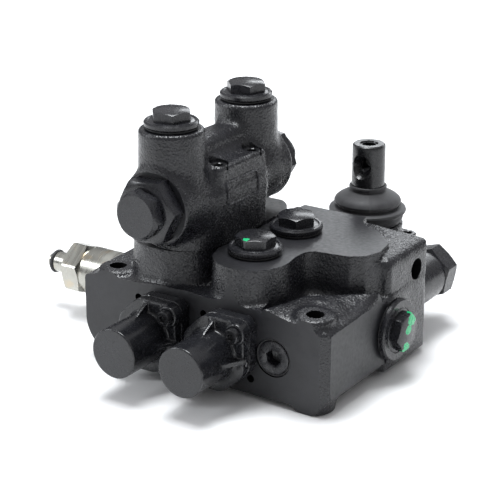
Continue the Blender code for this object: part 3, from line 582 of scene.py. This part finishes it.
def body_field(x, y, z):
    """The body: a rounded bar, the flange and deck on it, feet, and the side port's ear."""
    left = x < BODY_MID_X
    radius = np.where(left, np.where(z > 0, 4.5, 19.0), 3.0)
    splay = np.clip((y - FRONT_Y) * 0.027, 0, BODY_HALF_X - LEFT_REACH)
    reach = np.where(left, LEFT_REACH + splay, BODY_HALF_X)
    px = np.abs(x - BODY_MID_X) - reach + radius
    pz = np.abs(z + 0.5) - np.where(z > 0, 30.0, 23.0) + radius
    top = (z - flange_height(x, y)) * 0.9
    solid = smax(rounded(px, pz, radius), top, 2.5)
    solid = np.maximum(solid, np.maximum(38.5 - y, y - 150.0))
    corner = disc(x, y, 50.0, 53.8, 14.0)
    solid = np.where((x > 50.0) & (y < 53.8), smax(solid, corner, 0.6), solid)
    under = ((x - 60.5) + (-17.6 - z) * 0.9) * 0.75
    solid = smax(solid, smin(under, 100.0 - y, 3.0), 2.0)
    solid = np.where(y > 98.0, smax(solid, x - 60.3, 1.5), solid)
    slope = (z - 41.4 + 0.05 * np.maximum(x - 20.0, 0)) * 0.99
    shoulder = smax(box_2d(x, y, 10.0, 60.3, 103.6, 149.5, 3.0), -z, 1.0)
    shoulder = smax(shoulder, slope, 7.0)
    solid = smin(solid, shoulder, 2.5)
    deck = np.maximum(deck_field(x, y) - 0.045 * (DECK_Z - z), z - 46.0)
    deck = np.maximum(deck, np.maximum(-z, y - 150.0))
    solid = smin(solid, smax(deck, z - 43.5, 0.5), np.where(z > 38.0, 0.8, 4.5))
    back = disc(x, y, 55.0, 142.0, 5.8)
    solid = np.where((x > 55.0) & (y > 142.0), np.maximum(solid, back), solid)
    for mx, my in MOUNTS:
        pad = column(x, y, z, mx, my, 10.4, FOOT_Z, 25.0, 1.8, 0.010)
        solid = smin(solid, pad, 3.5)
    rear_foot = column(x, y, z, -21.0, 134.0, 10.5, FOOT_Z, 0.0, 1.6)
    solid = smin(solid, rear_foot, 4.0)
    lump = np.sqrt((x - 39.3) ** 2 + (y - 67.9) ** 2 + ((z - 22.0) * 1.3) ** 2) - 3.6
    solid = smin(solid, lump, 2.5)
    ear = column(z, y, x, 0.0, SIDE_PORT_Y, 18.6, 40.0, 61.4, 2.2)
    solid = smin(solid, ear, 3.0)
    return solid + lumps(x, y, z, 0.10)


def make_body():
    body = casting("body_casting", body_field, (-99, 36, -30), (66, 154, 49), CAST_STEP, "cast")
    tools = [
        slab((-110, 0, -60), (110, FRONT_Y, 80), "front"),
        slab((RIGHT_X, 0, -60), (110, 101.0, 80), "front"),
        slab((-110, 0, DECK_Z), (110, 200, 90), "deck"),
        slab((-110, REAR_Y, -60), (110, 220, 80), "front"),
        slab((-110, 0, -60), (110, 200, FOOT_Z), "deck"),
        slab((-150, 0, -60), (LEFT_X, 200, 80), "front"),
    ]
    hole_y, hole_z = SIDE_HOLE
    side_hole, gallery = (RIGHT_X + 1, hole_y, hole_z), (GALLERY_X, FRONT_Y - 1, 0)
    relief_x, relief_y, relief_z = REAR_RELIEF
    holes = [(4.75, 90.0, (mx, my, -40.0), "+Z", 48) for mx, my in MOUNTS]
    holes += [(8.3, 120.0, (x, 36.0, 0), "+Y", 48) for x in SPOOL_X.values()]
    holes += [(2.15, 12.0, (x, 36.0, z), "+Y", 24)
              for x, z in ((BLOCK_X - 14.4, 14.3), (-14.4, 14.3), (14.9, -14.9),
                           (BLOCK_X + 14.9, -14.9))]
    holes += [(2.75, 20.0, (x + side, 36.0, side), "+Y", 16)
              for x in SPOOL_X.values() for side in (CAP_SCREW, -CAP_SCREW)]
    holes += [(5.9, 9.0, side_hole, "-X", 48), (3.9, 22.0, side_hole, "-X", 32),
              (10.6, 3.1, gallery, "+Y", 64), (8.2, 17.0, gallery, "+Y", 32)]
    for y in PORT_YS.values():
        holes += [(8.6, 30.0, (0, y, DECK_Z - 19), "+Z", 32),
                  (5.5, 30.0, (BLOCK_X, y, DECK_Z - 19), "+Z", 24)]
    holes += [(8.6, 30.0, (RIGHT_X - 20, SIDE_PORT_Y, 0), "+X", 32),
              (10.4, 50.0, (-110, MID_Y, 0), "+X", 32),
              (10.4, 50.0, (relief_x, relief_y - 36, relief_z), "+Y", 32)]
    tools += [drill(radius, length, at, direction, sides=sides)
              for radius, length, at, direction, sides in holes]
    cut(body, *tools)
    give(body, "valve", "cast", "valve_body")


# ------------------------------ the check block

def block_field(x, y, z):
    """The check block: a foot, a cross barrel, a core with a web on it and two towers."""
    u, w = x - BLOCK_X, y - MID_Y
    base = box_2d(u, w, -21.5, 21.5, -42.2, 32.5, 21.4) - 0.02 * (60 - z)
    base = np.maximum(base, np.maximum(42.0 - z, z - 70.0))
    boss = np.hypot(u, z - CROSS_Z) - 20.6
    boss = smax(boss, np.abs(w) - 50.6, 2.0)
    solid = smin(base, boss, 5.0)
    core = box_3d(u, w, z, (-22.0, -23.0, 44.0), (22.0, 22.0, 86.0), 3.0)
    solid = smin(solid, core, 5.0)
    web = box_3d(u, w, z, (-9.5, -34.0, 60.0), (9.0, 34.0, 97.0), 5.0)
    solid = smin(solid, web, 6.0)
    for sign in (-1, 1):
        tower = column(u, w, z, 0.0, sign * TOWER_Y, 17.3, 62.0, TOWER_TOP, 1.8, 0.012)
        solid = smin(solid, tower, 4.5)
    return solid + lumps(x, y, z, 0.10)


def make_block():
    block = casting("check_block_casting", block_field, (-70, 32, 39), (-14, 144, 111),
                    CAST_STEP * 0.85, "cast")
    tools = [slab((-90, 0, 0), (20, 200, DECK_Z + 0.3), "deck")]
    for sign, out in ((-1, "-Y"), (1, "+Y")):
        y = MID_Y + sign * TOWER_Y
        tools.append(drill(14.9, 6.0, (BLOCK_X, y, 107.0), "+Z", "deck", 64))
        tools.append(drill(8.6, 50.0, (BLOCK_X, y, CROSS_Z), "+Z", "bore", 32))
        for radius, length, where, slot, sides in ((19.6, 20.0, CHECK_Y, "front", 72),
                                                   (10.4, 30.0, 27.5, "bore", 32)):
            tools.append(drill(radius, length, (BLOCK_X, MID_Y + sign * where, CROSS_Z), out,
                               slot, sides))
        tools.append(drill(5.5, 30.0, (BLOCK_X, MID_Y + sign * 20.0, 40.0), "+Z", "bore", 24))
    tools.append(drill(8.4, 56.0, (BLOCK_X, MID_Y - 28, CROSS_Z), "+Y", "bore", 32))
    for side in (1, -1):
        for y in (MID_Y - BLOCK_SCREW_Y, MID_Y + BLOCK_SCREW_Y):
            x = BLOCK_X + side * BLOCK_SCREW_X
            tools.append(drill(5.5, 9.5, (x, y, 79.5), "+Z", "cast", 40))
            tools.append(drill(3.3, 60.0, (x, y, 38.0), "+Z", "bore", 16))
            near, far = sorted((BLOCK_X + side * 17.0, BLOCK_X + side * 26.0))
            tools.append(slab((near, y - 0.8, 83.0), (far, y + 0.8, 88.0), "cast"))
    cut(block, *tools)
    give(block, "valve", "cast", "check_block")
    frame_line("block_frame_right", 1)
    frame_line("block_frame_left", -1)


FRAME_Y, FRAME_Z, FRAME_X = (70.5, 99.5), (64.5, 76.5), 22.0


def bead(name, spots, radius, slot, corner, steps):
    """A round bead along a closed path with rounded corners."""
    path = []
    for i, spot in enumerate(spots):
        here, ahead = Vector(spot), Vector(spots[(i + 1) % len(spots)])
        before = (Vector(spots[i - 1]) - here).normalized()
        after = (ahead - here).normalized()
        for k in range(6):
            t = k / 5
            path.append((1 - t) ** 2 * (here + before * corner) + 2 * t * (1 - t) * here
                        + t * t * (here + after * corner))
        start, stop = here + after * corner, ahead - after * corner
        path += [start.lerp(stop, k / steps) for k in range(1, steps)]
    verts, faces, sides, count = [], [], 8, len(path)
    side = None
    for i, here in enumerate(path):
        along = (path[(i + 1) % count] - path[i - 1]).normalized()
        side = along.orthogonal() if side is None else side - along * side.dot(along)
        side.normalize()
        other = along.cross(side)
        verts += [here + (side * math.cos(a) + other * math.sin(a)) * radius
                  for a in np.arange(sides) * math.tau / sides]
        a, b = i * sides, (i + 1) % count * sides
        faces += [(a + k, a + (k + 1) % sides, b + (k + 1) % sides, b + k) for k in range(sides)]
    made = make(name, verts, faces, slot)
    give(made, "valve", slot)
    return made


def frame_line(name, sign):
    """A raised cast outline on the block's flat side, with nothing inside it."""
    (y0, y1), (z0, z1) = FRAME_Y, FRAME_Z
    made = bead(name, [(BLOCK_X + sign * FRAME_X, y, z)
                       for y, z in ((y0, z0), (y1, z0), (y1, z1), (y0, z1))],
                0.75, "cast", corner=2.2, steps=14)
    mesh = made.data
    points = vertices(mesh)
    local = (points - np.array(ZERO)) / MM
    y, z = local[:, 1], local[:, 2]
    reach = np.arange(14.0, 27.0, 0.1)
    skin = block_field(BLOCK_X + sign * reach[:, None], y[None], z[None])
    outer = reach[np.argmax(skin > 0, axis=0)]
    points[:, 0] += sign * (outer - FRAME_X + 0.05) * MM
    mesh.vertices.foreach_set("co", points.ravel())
    mesh.update()


# ------------------------------ plugs and screws

def fitting(node, rings, at, direction, slot="hex", sides=96, name=None):
    """A turned piece that replaces one CAD node."""
    made = loft(name or f"{node}_piece", rings, at, direction, slot, "valve", sides)
    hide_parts(node)


def seal(name, rings, at, direction, sides, *replaced):
    """A ring of rubber, from its section's outline."""
    made = loft(name, rings, at, direction, "rubber", None, sides)
    open_ring(made, len(rings), sides)
    give(made, "valve", "rubber", *replaced)


def open_ring(piece, rings, sides):
    """Turns a closed loft into a ring by joining its first and last outlines."""
    shape = bmesh.new()
    shape.from_mesh(piece.data)
    ends = [face for face in shape.faces if len(face.verts) == sides]
    bmesh.ops.delete(shape, geom=ends, context="FACES_ONLY")
    shape.verts.ensure_lookup_table()
    last = (rings - 1) * sides
    for i in range(sides):
        j = (i + 1) % sides
        shape.faces.new([shape.verts[k] for k in (i, j, last + j, last + i)])
    bmesh.ops.recalc_face_normals(shape, faces=shape.faces)
    for face in shape.faces:
        face.smooth = True
    shape.to_mesh(piece.data)
    shape.free()
    piece.data.set_sharp_from_angle(angle=SHARP)


COLLAR_R, SIDE_COLLAR_R, COLLAR_TOP, PLUG_TOP, PLUG_HEX = 14.4, 17.0, 4.4, 9.8, 19.0


def port_plug(node, at, direction, spin, wide=COLLAR_R, slot="hex"):
    """Hex plug with a collar, a turned groove round it and its bonded washer."""
    rings = [(8.2, -11.0), (8.2, 1.4), (wide - 0.6, 1.4), (wide, 2.0), (wide, COLLAR_TOP - 0.8),
             (wide - 0.8, COLLAR_TOP), (12.6, COLLAR_TOP), (12.2, COLLAR_TOP - 0.4),
             (11.4, COLLAR_TOP)]
    rings += hex_steps(PLUG_HEX, COLLAR_TOP + 0.1, PLUG_TOP, math.radians(spin))
    fitting(node, rings, at, direction, slot)
    rim = wide - 0.6
    washer = [(8.8, 0.3), (rim - 0.6, 0.3), (rim, 0.55), (rim, 0.9), (rim - 0.6, 1.15),
              (8.8, 1.15)]
    seal(f"{node}_seal", washer, at, direction, 72, f"{node}_washer")


def socket_screw(node, at, direction, head_r, head_h, thread_r, thread_l, socket=5.0):
    """Socket-head screw: `at` is under its head."""
    reach = hexagon(socket, 0.3)
    rings = [(thread_r, -thread_l), (thread_r, 0), (head_r, 0), (head_r, head_h - 0.5),
             (head_r - 0.5, head_h), (socket / 2 * 1.2, head_h), (reach, head_h - 0.35),
             (reach, head_h * 0.45), (socket * 0.12, head_h * 0.36)]
    fitting(node, rings, at, direction, "screw", 72)


def make_plugs():
    for name, spin in (("front", 32), ("rear", 2)):
        port_plug(f"deck_plug_{name}", (0, PORT_YS[name], DECK_Z), "+Z", spin, slot="daubed")
    port_plug("side_plug", (RIGHT_X, SIDE_PORT_Y, 0), "+X", 10, SIDE_COLLAR_R, "daubed")
    for name, sign, spin in (("front", -1, 9.4), ("rear", 1, 15.2)):
        port_plug(f"tower_plug_{name}", (BLOCK_X, MID_Y + sign * TOWER_Y, TOWER_TOP), "+Z", spin)
    reach = hexagon(8.0, math.radians(12))
    at = (GALLERY_X, FRONT_Y + 2.0, 0)
    rings = [(7.6, -10.0), (7.6, 0.0), (9.0, 0.0), (9.0, 1.7), (8.6, 2.1), (5.2, 2.1),
             (reach, 1.6), (reach, -4.0), (1.0, -5.0)]
    fitting("front_gallery_plug", rings, at, "-Y", sides=72, name="front_gallery_piece")
    seal("front_gallery_seal", [(9.25, 0.1), (10.3, 0.1), (10.3, 1.2), (9.8, 1.5), (9.25, 1.2)],
         at, "-Y", 72)


CARTRIDGE_HEX, CARTRIDGE_TOP = 32.0, 10.0
END_PLUG_HEX, END_PLUG_ROUND, END_PLUG_FLAT, END_PLUG_TOP = 24.0, 13.4, 11.3, 17.4


def make_block_fittings():
    for name, side in (("right", 1), ("left", -1)):
        for end, ahead in (("front", -1), ("rear", 1)):
            at = (BLOCK_X + side * BLOCK_SCREW_X, MID_Y + ahead * BLOCK_SCREW_Y, 79.8)
            socket_screw(f"block_screw_{name}_{end}", at, "+Z", 5.0, 5.4, 3.0, 44.0)
    side = hexagon(END_PLUG_HEX, math.radians(14), END_PLUG_ROUND)

    def crown(reach):
        return END_PLUG_TOP - np.maximum(reach - END_PLUG_FLAT, 0) * math.tan(math.radians(45))
    for end, sign, out in (("front", -1, "-Y"), ("rear", 1, "+Y")):
        at = (BLOCK_X, MID_Y + sign * (CHECK_Y + 0.3), CROSS_Z)
        steps = hex_steps(CARTRIDGE_HEX, 0.0, CARTRIDGE_TOP, math.radians(34), 28, 0.93)
        fitting(f"check_cartridge_{end}", [(9.9, -5.0), (9.9, 0.0)] + steps
                + [(12.6, CARTRIDGE_TOP), (12.3, 9.7), (6.3, 9.7)], at, out)
        fitting(f"check_end_plug_{end}", [(6.0, 2.0), (6.0, 10.1), (side, 10.1), (side, crown),
                                          (END_PLUG_FLAT, END_PLUG_TOP)], at, out)


# ------------------------------ spool caps

CAP_R, CAP_BORE_R = 13.5, 11.0


def cap_field_for(cx):
    """A spool cap: a barrel, its flange, two stiffening ribs and two screw bosses."""
    def field(x, y, z):
        u = x - cx
        barrel = smax(np.hypot(u, z) - CAP_R, -y, 0.8)
        barrel = np.maximum(barrel, y - 33.6)
        plate = flange_outline(u, z)
        flange = smax(smax(plate, 28.5 - y, 0.8), y - 33.7, 0.6)
        solid = smin(barrel, flange, 2.0)
        for a, b in ((u, z), (z, u)):
            rib = np.maximum(np.abs(a) - 1.1, (b - 12.0) - (y - 15.0) * 0.52)
            rib = smax(smax(rib, y - 30.0, 0.5), 10.0 - b, 0.5)
            solid = smin(solid, rib, 1.6)
        for spot in (CAP_SCREW, -CAP_SCREW):
            boss = disc(u, z, spot, spot, 5.6)
            boss = smax(smax(boss, 26.5 - y, 0.8), y - 33.0, 0.5)
            solid = smin(solid, boss, 1.5)
        hollow = np.maximum(np.hypot(u, z) - CAP_BORE_R, 2.0 - y)
        return np.maximum(solid, -hollow)
    return field


def flange_outline(u, w):
    """Rounded square flange with its two free corners taken off."""
    square = box_2d(u, w, -18.6, 18.6, -20.4, 20.4, 5.5)
    return smax(square, np.abs(u - w) / math.sqrt(2) - 18.6, 3.0)


def spacer_field_for(cx):
    def field(x, y, z):
        plate = flange_outline(x - cx, z) - 0.1
        solid = smax(smax(plate, 34.0 - y, 0.5), y - 40.7, 0.5)
        solid = np.maximum(solid, CAP_BORE_R - np.hypot(x - cx, z))
        for spot in (CAP_SCREW, -CAP_SCREW):
            solid = np.maximum(solid, 2.8 - disc(x - cx, z, spot, spot, 0))
        return solid
    return field


def make_caps():
    for name, cx in SPOOL_X.items():
        cap = casting(f"spool_cap_{name}_piece", cap_field_for(cx), (cx - 21, -1.5, -23),
                      (cx + 21, 35.5, 23), FINE_STEP, "cap")
        cut(cap, *[drill(2.8, 20.0, (cx + spot, 20.0, spot), "+Y", "bore", 20)
                   for spot in (CAP_SCREW, -CAP_SCREW)])
        give(cap, "valve", "cap", f"spool_cap_{name}")
        spacer = casting(f"cap_spacer_{name}_piece", spacer_field_for(cx), (cx - 21, 33, -23),
                         (cx + 21, 42, 23), FINE_STEP, "cap")
        give(spacer, "valve", "cap", f"cap_spacer_{name}")
        for end, spot in (("upper", CAP_SCREW), ("lower", -CAP_SCREW)):
            socket_screw(f"cap_screw_{name}_{end}", (cx + spot, 26.2, spot), "-Y", 4.0, 3.4,
                         2.5, 24.0, 3.6)


# ------------------------------ relief cartridges

RELIEF_HEX, RELIEF_NEAR, RELIEF_FAR, O_RING_R = 27.0, 32.0, 44.0, 1.15


def make_relief(prefix, at, out, slot, spin, neck=0.0):
    """Relief cartridge: a turned barrel, its hexagon, and the adjuster with its O-ring."""
    side = hexagon(RELIEF_HEX, spin)
    flat = RELIEF_HEX / 2 * 0.97

    def chamfer(reach):
        return np.maximum(reach - flat, 0) * math.tan(math.radians(28))
    rings = [(9.9, -29.0), (9.9, 0.3), (13.2, 0.3), (14.0, 1.0), (14.0, 29.0), (13.6, 29.4),
             (13.1, 29.8), (13.1, 31.6), (flat, RELIEF_NEAR),
             (side, lambda reach: RELIEF_NEAR + chamfer(reach)),
             (side, lambda reach: RELIEF_FAR - chamfer(reach)), (flat, RELIEF_FAR),
             (8.0, 44.4), (7.2, 44.4), (6.6, 44.0), (5.6, 43.6), (5.6, 20.0)]
    fitting(f"{prefix}_body", rings, at, out, slot, name=f"{prefix}_cartridge")
    end = 44.3 + neck
    rings = [(5.1, 26.0), (5.1, 44.6), (6.0, 44.7), (6.0, end + 2.4), (4.2, end + 2.8),
             (4.2, end + 5.2), (4.6, end + 5.4), (4.6, end + 7.0), (4.0, end + 7.9),
             (2.4, end + 8.6), (2.2, end + 8.4)]
    fitting(f"{prefix}_adjuster", rings, at, out, slot, 48, f"{prefix}_stem")
    ring = [(5.8 + O_RING_R * math.cos(a), end + 4.0 + O_RING_R * math.sin(a))
            for a in np.arange(12) * -math.tau / 12 + 3.1]
    seal(f"{prefix}_seal_ring", ring, at, out, 48, f"{prefix}_o_ring")


# ------------------------------ the joystick

TURRET_R, NECK_R, NECK_BORE_R, PIVOT_R = 20.7, 17.6, 15.4, 2.9


def housing_field(x, y, z):
    """The joystick's hollow housing, with the turret under the boot and the pivot lugs."""
    lx, ly, lz = LEVER
    shell = box_3d(x, y, z, (-63.0, 140.0, -17.0), (21.5, 209.0, 18.0), 5.0)
    hump = box_3d(x, y, z, (-60.0, 140.0, 0.0), (-9.0, 174.0, 26.3), 6.0)
    cover = box_3d(x, y, z, (-30.0, 150.0, 0.0), (-6.0, 205.0, 26.3), 5.0)
    solid = smin(smin(shell, hump, 5.0), cover, 5.0)
    turret = column(x, y, z, lx, ly, TURRET_R, 0.0, 26.4, 1.2)
    solid = smin(solid, turret, 3.0)
    solid = np.minimum(solid, column(x, y, z, lx, ly, NECK_R, 10.0, 34.0, 0.5))
    boss = column(x, y, z, GREASE_X, ly, 6.6, 10.0, 18.0, 1.0)
    solid = smin(solid, boss, 3.0)
    room = box_3d(x, y, z, (-54.0, 130.0, -12.0), (11.5, 202.0, 13.5), 1.0)
    room = np.minimum(room, box_3d(x, y, z, (-54.0, 156.5, 5.0), (-12.0, 172.5, 24.5), 1.0))
    room = np.minimum(room, box_3d(x, y, z, (-27.5, 160.0, 5.0), (-12.0, 202.0, 25.5), 1.0))
    room = np.minimum(room, box_3d(x, y, z, (-26.0, 176.0, 5.0), (-8.0, 198.0, 25.5), 1.0))
    room = np.minimum(room, np.maximum(disc(x, y, lx, ly, NECK_BORE_R), 8.0 - z))
    solid = np.maximum(solid, -room)
    for side in (-12.9, 12.9):
        lug = box_3d(x, y, z, (side - 3.3, ly - 3.5, 9.5), (side + 3.3, ly + 3.5, 24.0), 0.5)
        upper = np.maximum(10.5 - np.abs(x), np.abs(x) - 16.2)
        upper = smax(upper, np.maximum(np.abs(z - 24.6) - 2.2, np.abs(y - ly) - 3.5), 0.5)
        solid = np.minimum(solid, np.minimum(lug, upper))
    lug = box_3d(x, y, z, (-15.5, 161.0, 9.0), (-10.6, 168.7, 25.0), 0.5)
    solid = np.minimum(solid, lug)
    pins = np.maximum(np.hypot(y - ly, z - lz) - PIVOT_R, np.abs(x) - 16.8)
    crank = np.maximum(np.hypot(y - CRANK_Y, z - lz) - PIVOT_R, np.abs(x + 35.5) - 26.0)
    return np.maximum(solid, -np.minimum(pins, crank)) + lumps(x, y, z, 0.05)


def make_housing():
    housing = casting("joystick_housing_casting", housing_field, (-67, 144, -20),
                      (35, 212, 37), CAST_STEP, "cast")
    ly = LEVER[1]
    cut(housing, slab((-90, 100, -40), (60, REAR_Y + 0.3, 60), "front"),
        *[drill(3.4, 90.0, (x, 140, z), "+Y", "bore", 20) for x, z in HOUSING_BOLTS.values()],
        drill(3.1, 20.0, (GREASE_X, ly, 5.0), "+Z", "bore", 20))
    give(housing, "valve", "cast", "joystick_housing")
    for name, (x, z) in HOUSING_BOLTS.items():
        socket_screw(f"joystick_bolt_{name}", (x, 209.3, z), "+Y", 5.0, 6.0, 3.0, 70.0)
    socket_screw("grease_screw", (GREASE_X, ly, 18.3), "+Z", 5.0, 5.6, 2.7, 3.2)


def bar(low, high, radius=0.7):
    """A small forged block with rounded edges."""
    shape = bmesh.new()
    bmesh.ops.create_cube(shape, size=1)
    bmesh.ops.scale(shape, verts=shape.verts, vec=Vector(high) - Vector(low))
    bmesh.ops.translate(shape, verts=shape.verts, vec=(Vector(high) + Vector(low)) / 2)
    bmesh.ops.bevel(shape, geom=shape.edges[:], offset=radius, segments=2, affect="EDGES")
    verts = [tuple(v.co) for v in shape.verts]
    faces = [[v.index for v in f.verts] for f in shape.faces]
    shape.free()
    return make("bar", verts, faces, "screw")


def knob(at, radius):
    rings = [(radius * math.sin(a), -radius * math.cos(a))
             for a in np.linspace(0.12, math.pi - 0.12, 16)]
    return loft("knob", rings, at, "+Z", "screw", sides=32)


CROSS_HOLE_Z = 60.5


def make_lever():
    """The pin above the boot, and the forged fork, tail and side arm hidden below it."""
    x, y, z = LEVER
    shaft = [(9.5, height) for height in np.arange(42.4, 71.4, 1.445)]
    pin = loft("lever_pin", [(6.0, 21.5), (6.0, 41.6), (8.6, 41.6)] + shaft
               + [(9.3, 72.1), (8.6, 72.7)], (x, y, 0), "+Z", "screw", sides=96)
    fork = (bar((x - 5, y - 10, z + 5.5), (x + 5, y + 10, z + 9.5)),
            bar((x - 5, y - 10, z - 9.0), (x + 5, y - 6, z + 8.0)),
            bar((x - 5, y + 6, z - 9.0), (x + 5, y + 10, z + 8.0)),
            bar((x - 5, y - 10, z - 10.0), (x + 5, y + 10, z - 5.5)))
    arm = bar((SIDE_BALL_X - 1.7, y + 6.2, z - 1.9), (x - 3, y + 8.4, z + 1.9))
    tail = loft("tail", [(2.5, 0.5), (2.5, 7.5)], (x, y, 0), "+Z", "screw", sides=32)
    side_pin = loft("tail", [(1.6, 0.5), (1.6, 7.4)], (SIDE_BALL_X, y, z), "+Y", "screw",
                    sides=32)
    balls = (knob((x, y, 0), 4.0), knob((SIDE_BALL_X, y, z), 3.0))
    combine(pin, (*fork, arm, tail, side_pin, *balls), "UNION")
    cut(pin, drill(3.9, 20.0, (x, y, 57.0), "+Z", "bore", 48),
        drill(4.9, 2.0, (x, y, 71.8), "+Z", "screw", 48, 5.9),
        drill(3.1, 30.0, (x, y - 15, CROSS_HOLE_Z), "+Y", "bore", 48),
        drill(9.0, 10.0, (x, y - 12.0, CROSS_HOLE_Z), "+Y", "screw", 48, 2.0),
        drill(2.8, 30.0, (x, y - 15, z), "+Y", "bore", 32))
    give(pin, "lever_arm", "screw", "lever")


BOOT_OUTER = [(10.2, 48.3), (10.7, 47.9), (10.9, 47.2), (10.7, 46.6), (10.2, 46.3),
              (10.0, 45.8), (10.2, 45.2), (12.0, 44.3), (14.4, 43.2), (16.9, 41.8),
              (18.6, 40.4), (19.3, 39.0), (19.2, 38.0), (18.5, 37.1), (17.6, 36.5),
              (17.2, 35.9), (17.5, 35.5), (18.8, 35.4), (20.9, 35.2), (22.0, 34.5),
              (22.3, 33.5), (21.9, 32.5), (21.0, 31.8), (20.6, 31.1), (20.7, 30.2),
              (20.5, 28.9), (19.9, 27.5), (19.5, 26.9)]
BOOT_SIDES = 240
BOOT_INNER = [(18.5, 26.9), (18.4, 28.5), (18.6, 30.4), (19.8, 30.9), (19.8, 34.2),
              (15.6, 34.8), (16.2, 36.9), (16.4, 38.2), (15.0, 39.9), (12.6, 41.8),
              (9.9, 43.4), (9.8, 48.3)]


def make_boot():
    """The boot in two pieces that meet in its fold."""
    x, y = LEVER[:2]
    parts = (("skirt", BOOT_OUTER[15:] + BOOT_INNER[:6], "valve", "gimbal", 29, 36),
             ("dome", BOOT_OUTER[:16] + BOOT_INNER[5:], "gimbal", "lever_arm", 36, 45))
    for name, rings, lower, upper, start, end in parts:
        boot = loft(f"lever_boot_{name}", rings, (x, y, 0), "+Z", "rubber", None, BOOT_SIDES,
                    math.radians(50))
        open_ring(boot, len(rings), BOOT_SIDES)
        mould_line(boot, x, y)
        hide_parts("lever_boot")
        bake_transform(boot)


def mould_line(boot, x, y):
    """Raises the thin parting line left by the mould down the boot's front and back."""
    mesh = boot.data
    points = vertices(mesh)
    centre = np.array(ZERO) + np.array((x, y, 0)) * MM
    flat = points[:, :2] - centre[:2]
    reach = np.linalg.norm(flat, axis=1)
    angle = np.arctan2(flat[:, 1], flat[:, 0])
    outer = reach > 10.0 * MM
    for seam in (-1.0, 2.14):
        gap = np.abs(np.angle(np.exp(1j * (angle - seam))))
        lift = 0.3 * MM * np.exp(-(gap / 0.028) ** 2) * outer
        points[:, :2] += flat / np.maximum(reach, 1e-6)[:, None] * lift[:, None]
    mesh.vertices.foreach_set("co", points.ravel())
    mesh.update()


# ------------------------------ the CAD pieces that stay

def dress_cad():
    finish = {"black_paint": "smooth", "black_steel": "screw", "zinc": "zinc",
              "ground_steel": "ground", "spring_steel": "spring", "rubber": "rubber"}
    slots = {part["node"]: part["material_slot"] for part in frame["record"]["subparts"]}
    for name, piece in frame["nodes"].items():
        material = MAT[finish[slots[name]]]
        if not piece.material_slots:
            piece.data.materials.append(material)
        for held in piece.material_slots:
            held.material = material


# ------------------------------ camera, light and floor

AZIMUTH, ELEVATION, DISTANCE = math.radians(33.53), math.radians(20.46), 813.0
AIM_RIGHT, AIM_UP, LENS = 34.8, 61.3, 117.8


def camera():
    back = Vector((math.sin(AZIMUTH) * math.cos(ELEVATION),
                   -math.cos(AZIMUTH) * math.cos(ELEVATION), math.sin(ELEVATION)))
    right = Vector((math.cos(AZIMUTH), math.sin(AZIMUTH), 0))
    up = back.cross(right)
    made = bpy.data.objects.new("camera", bpy.data.cameras.new("camera"))
    made.data.lens = LENS
    made.data.sensor_width = 36.0
    made.data.clip_start, made.data.clip_end = 0.05, 20
    matrix = Matrix((right, up, back)).transposed().to_4x4()
    matrix.translation = (right * AIM_RIGHT + up * AIM_UP + back * DISTANCE) * MM + ZERO
    made.matrix_world = matrix
    bpy.context.scene.collection.objects.link(made)
    bpy.context.scene.camera = made


def softbox(name, at, width, height, power, colour):
    """A lamp aimed at the valve's middle, which the camera doesn't see."""
    lamp = bpy.data.lights.new(name, "AREA")
    lamp.shape = "RECTANGLE"
    lamp.size, lamp.size_y = width, height
    lamp.energy = power
    lamp.color = colour
    made = bpy.data.objects.new(name, lamp)
    made.location = at
    aim = Vector((0, 0, 0.05)) - Vector(at)
    made.rotation_euler = aim.to_track_quat("-Z", "Y").to_euler()
    bpy.context.scene.collection.objects.link(made)
    made.visible_camera = False


SKY, FLOOR = (0.93, 0.965, 1.0), 6.0


def studio():
    """A white room: bright overhead and behind, dim near the horizon."""
    world = bpy.data.worlds.new("studio")
    world.use_nodes = True
    tree = world.node_tree
    coords = tree.nodes.new("ShaderNodeTexCoord")
    split = tree.nodes.new("ShaderNodeSeparateXYZ")
    tree.links.new(coords.outputs["Generated"], split.inputs["Vector"])
    glow = ramp(tree, split.outputs["Z"], 0.02, 0.62, (0.30, 0.30, 0.31), (1.0, 1.0, 1.02))
    background = tree.nodes["Background"]
    tree.links.new(glow, background.inputs["Color"])
    background.inputs["Strength"].default_value = 0.55
    bpy.context.scene.world = world
    softbox("top", (-0.15, 0.1, 1.5), 0.75, 0.6, 28, (0.95, 0.975, 1.0))
    softbox("left", (-1.2, -0.9, 0.8), 0.2, 0.7, 10, SKY)
    softbox("back", (-0.3, 1.6, 0.8), 1.2, 0.4, 8, SKY)
    mesh = bpy.data.meshes.new("floor")
    mesh.from_pydata([(-FLOOR, -FLOOR, 0), (FLOOR, -FLOOR, 0), (FLOOR, FLOOR, 0),
                      (-FLOOR, FLOOR, 0)], [], [(0, 1, 2, 3)])
    made, tree, shader, coords = nodes_of("floor")
    grain = noise(tree, coords, 30, 3)
    tree.links.new(ramp(tree, grain, 0.3, 0.7, (0.93, 0.93, 0.93), (0.96, 0.96, 0.96)),
                   shader.inputs["Base Color"])
    shader.inputs["Roughness"].default_value = 0.9
    mesh.materials.append(made)
    floor = bpy.data.objects.new("floor", mesh)
    bpy.context.scene.collection.objects.link(floor)
    bpy.context.scene.view_settings.view_transform = "Standard"


# ------------------------------ the whole scene

dress_cad()
camera()
studio()
make_body()
make_block()
make_plugs()
make_block_fittings()
make_caps()
make_relief("relief", (LEFT_X, MID_Y, 0), "-X", "zinc", math.radians(20), 9.5)
make_relief("rear_relief", REAR_RELIEF, "+Y", "hex", 0.2)
make_housing()
make_boot()
make_lever()
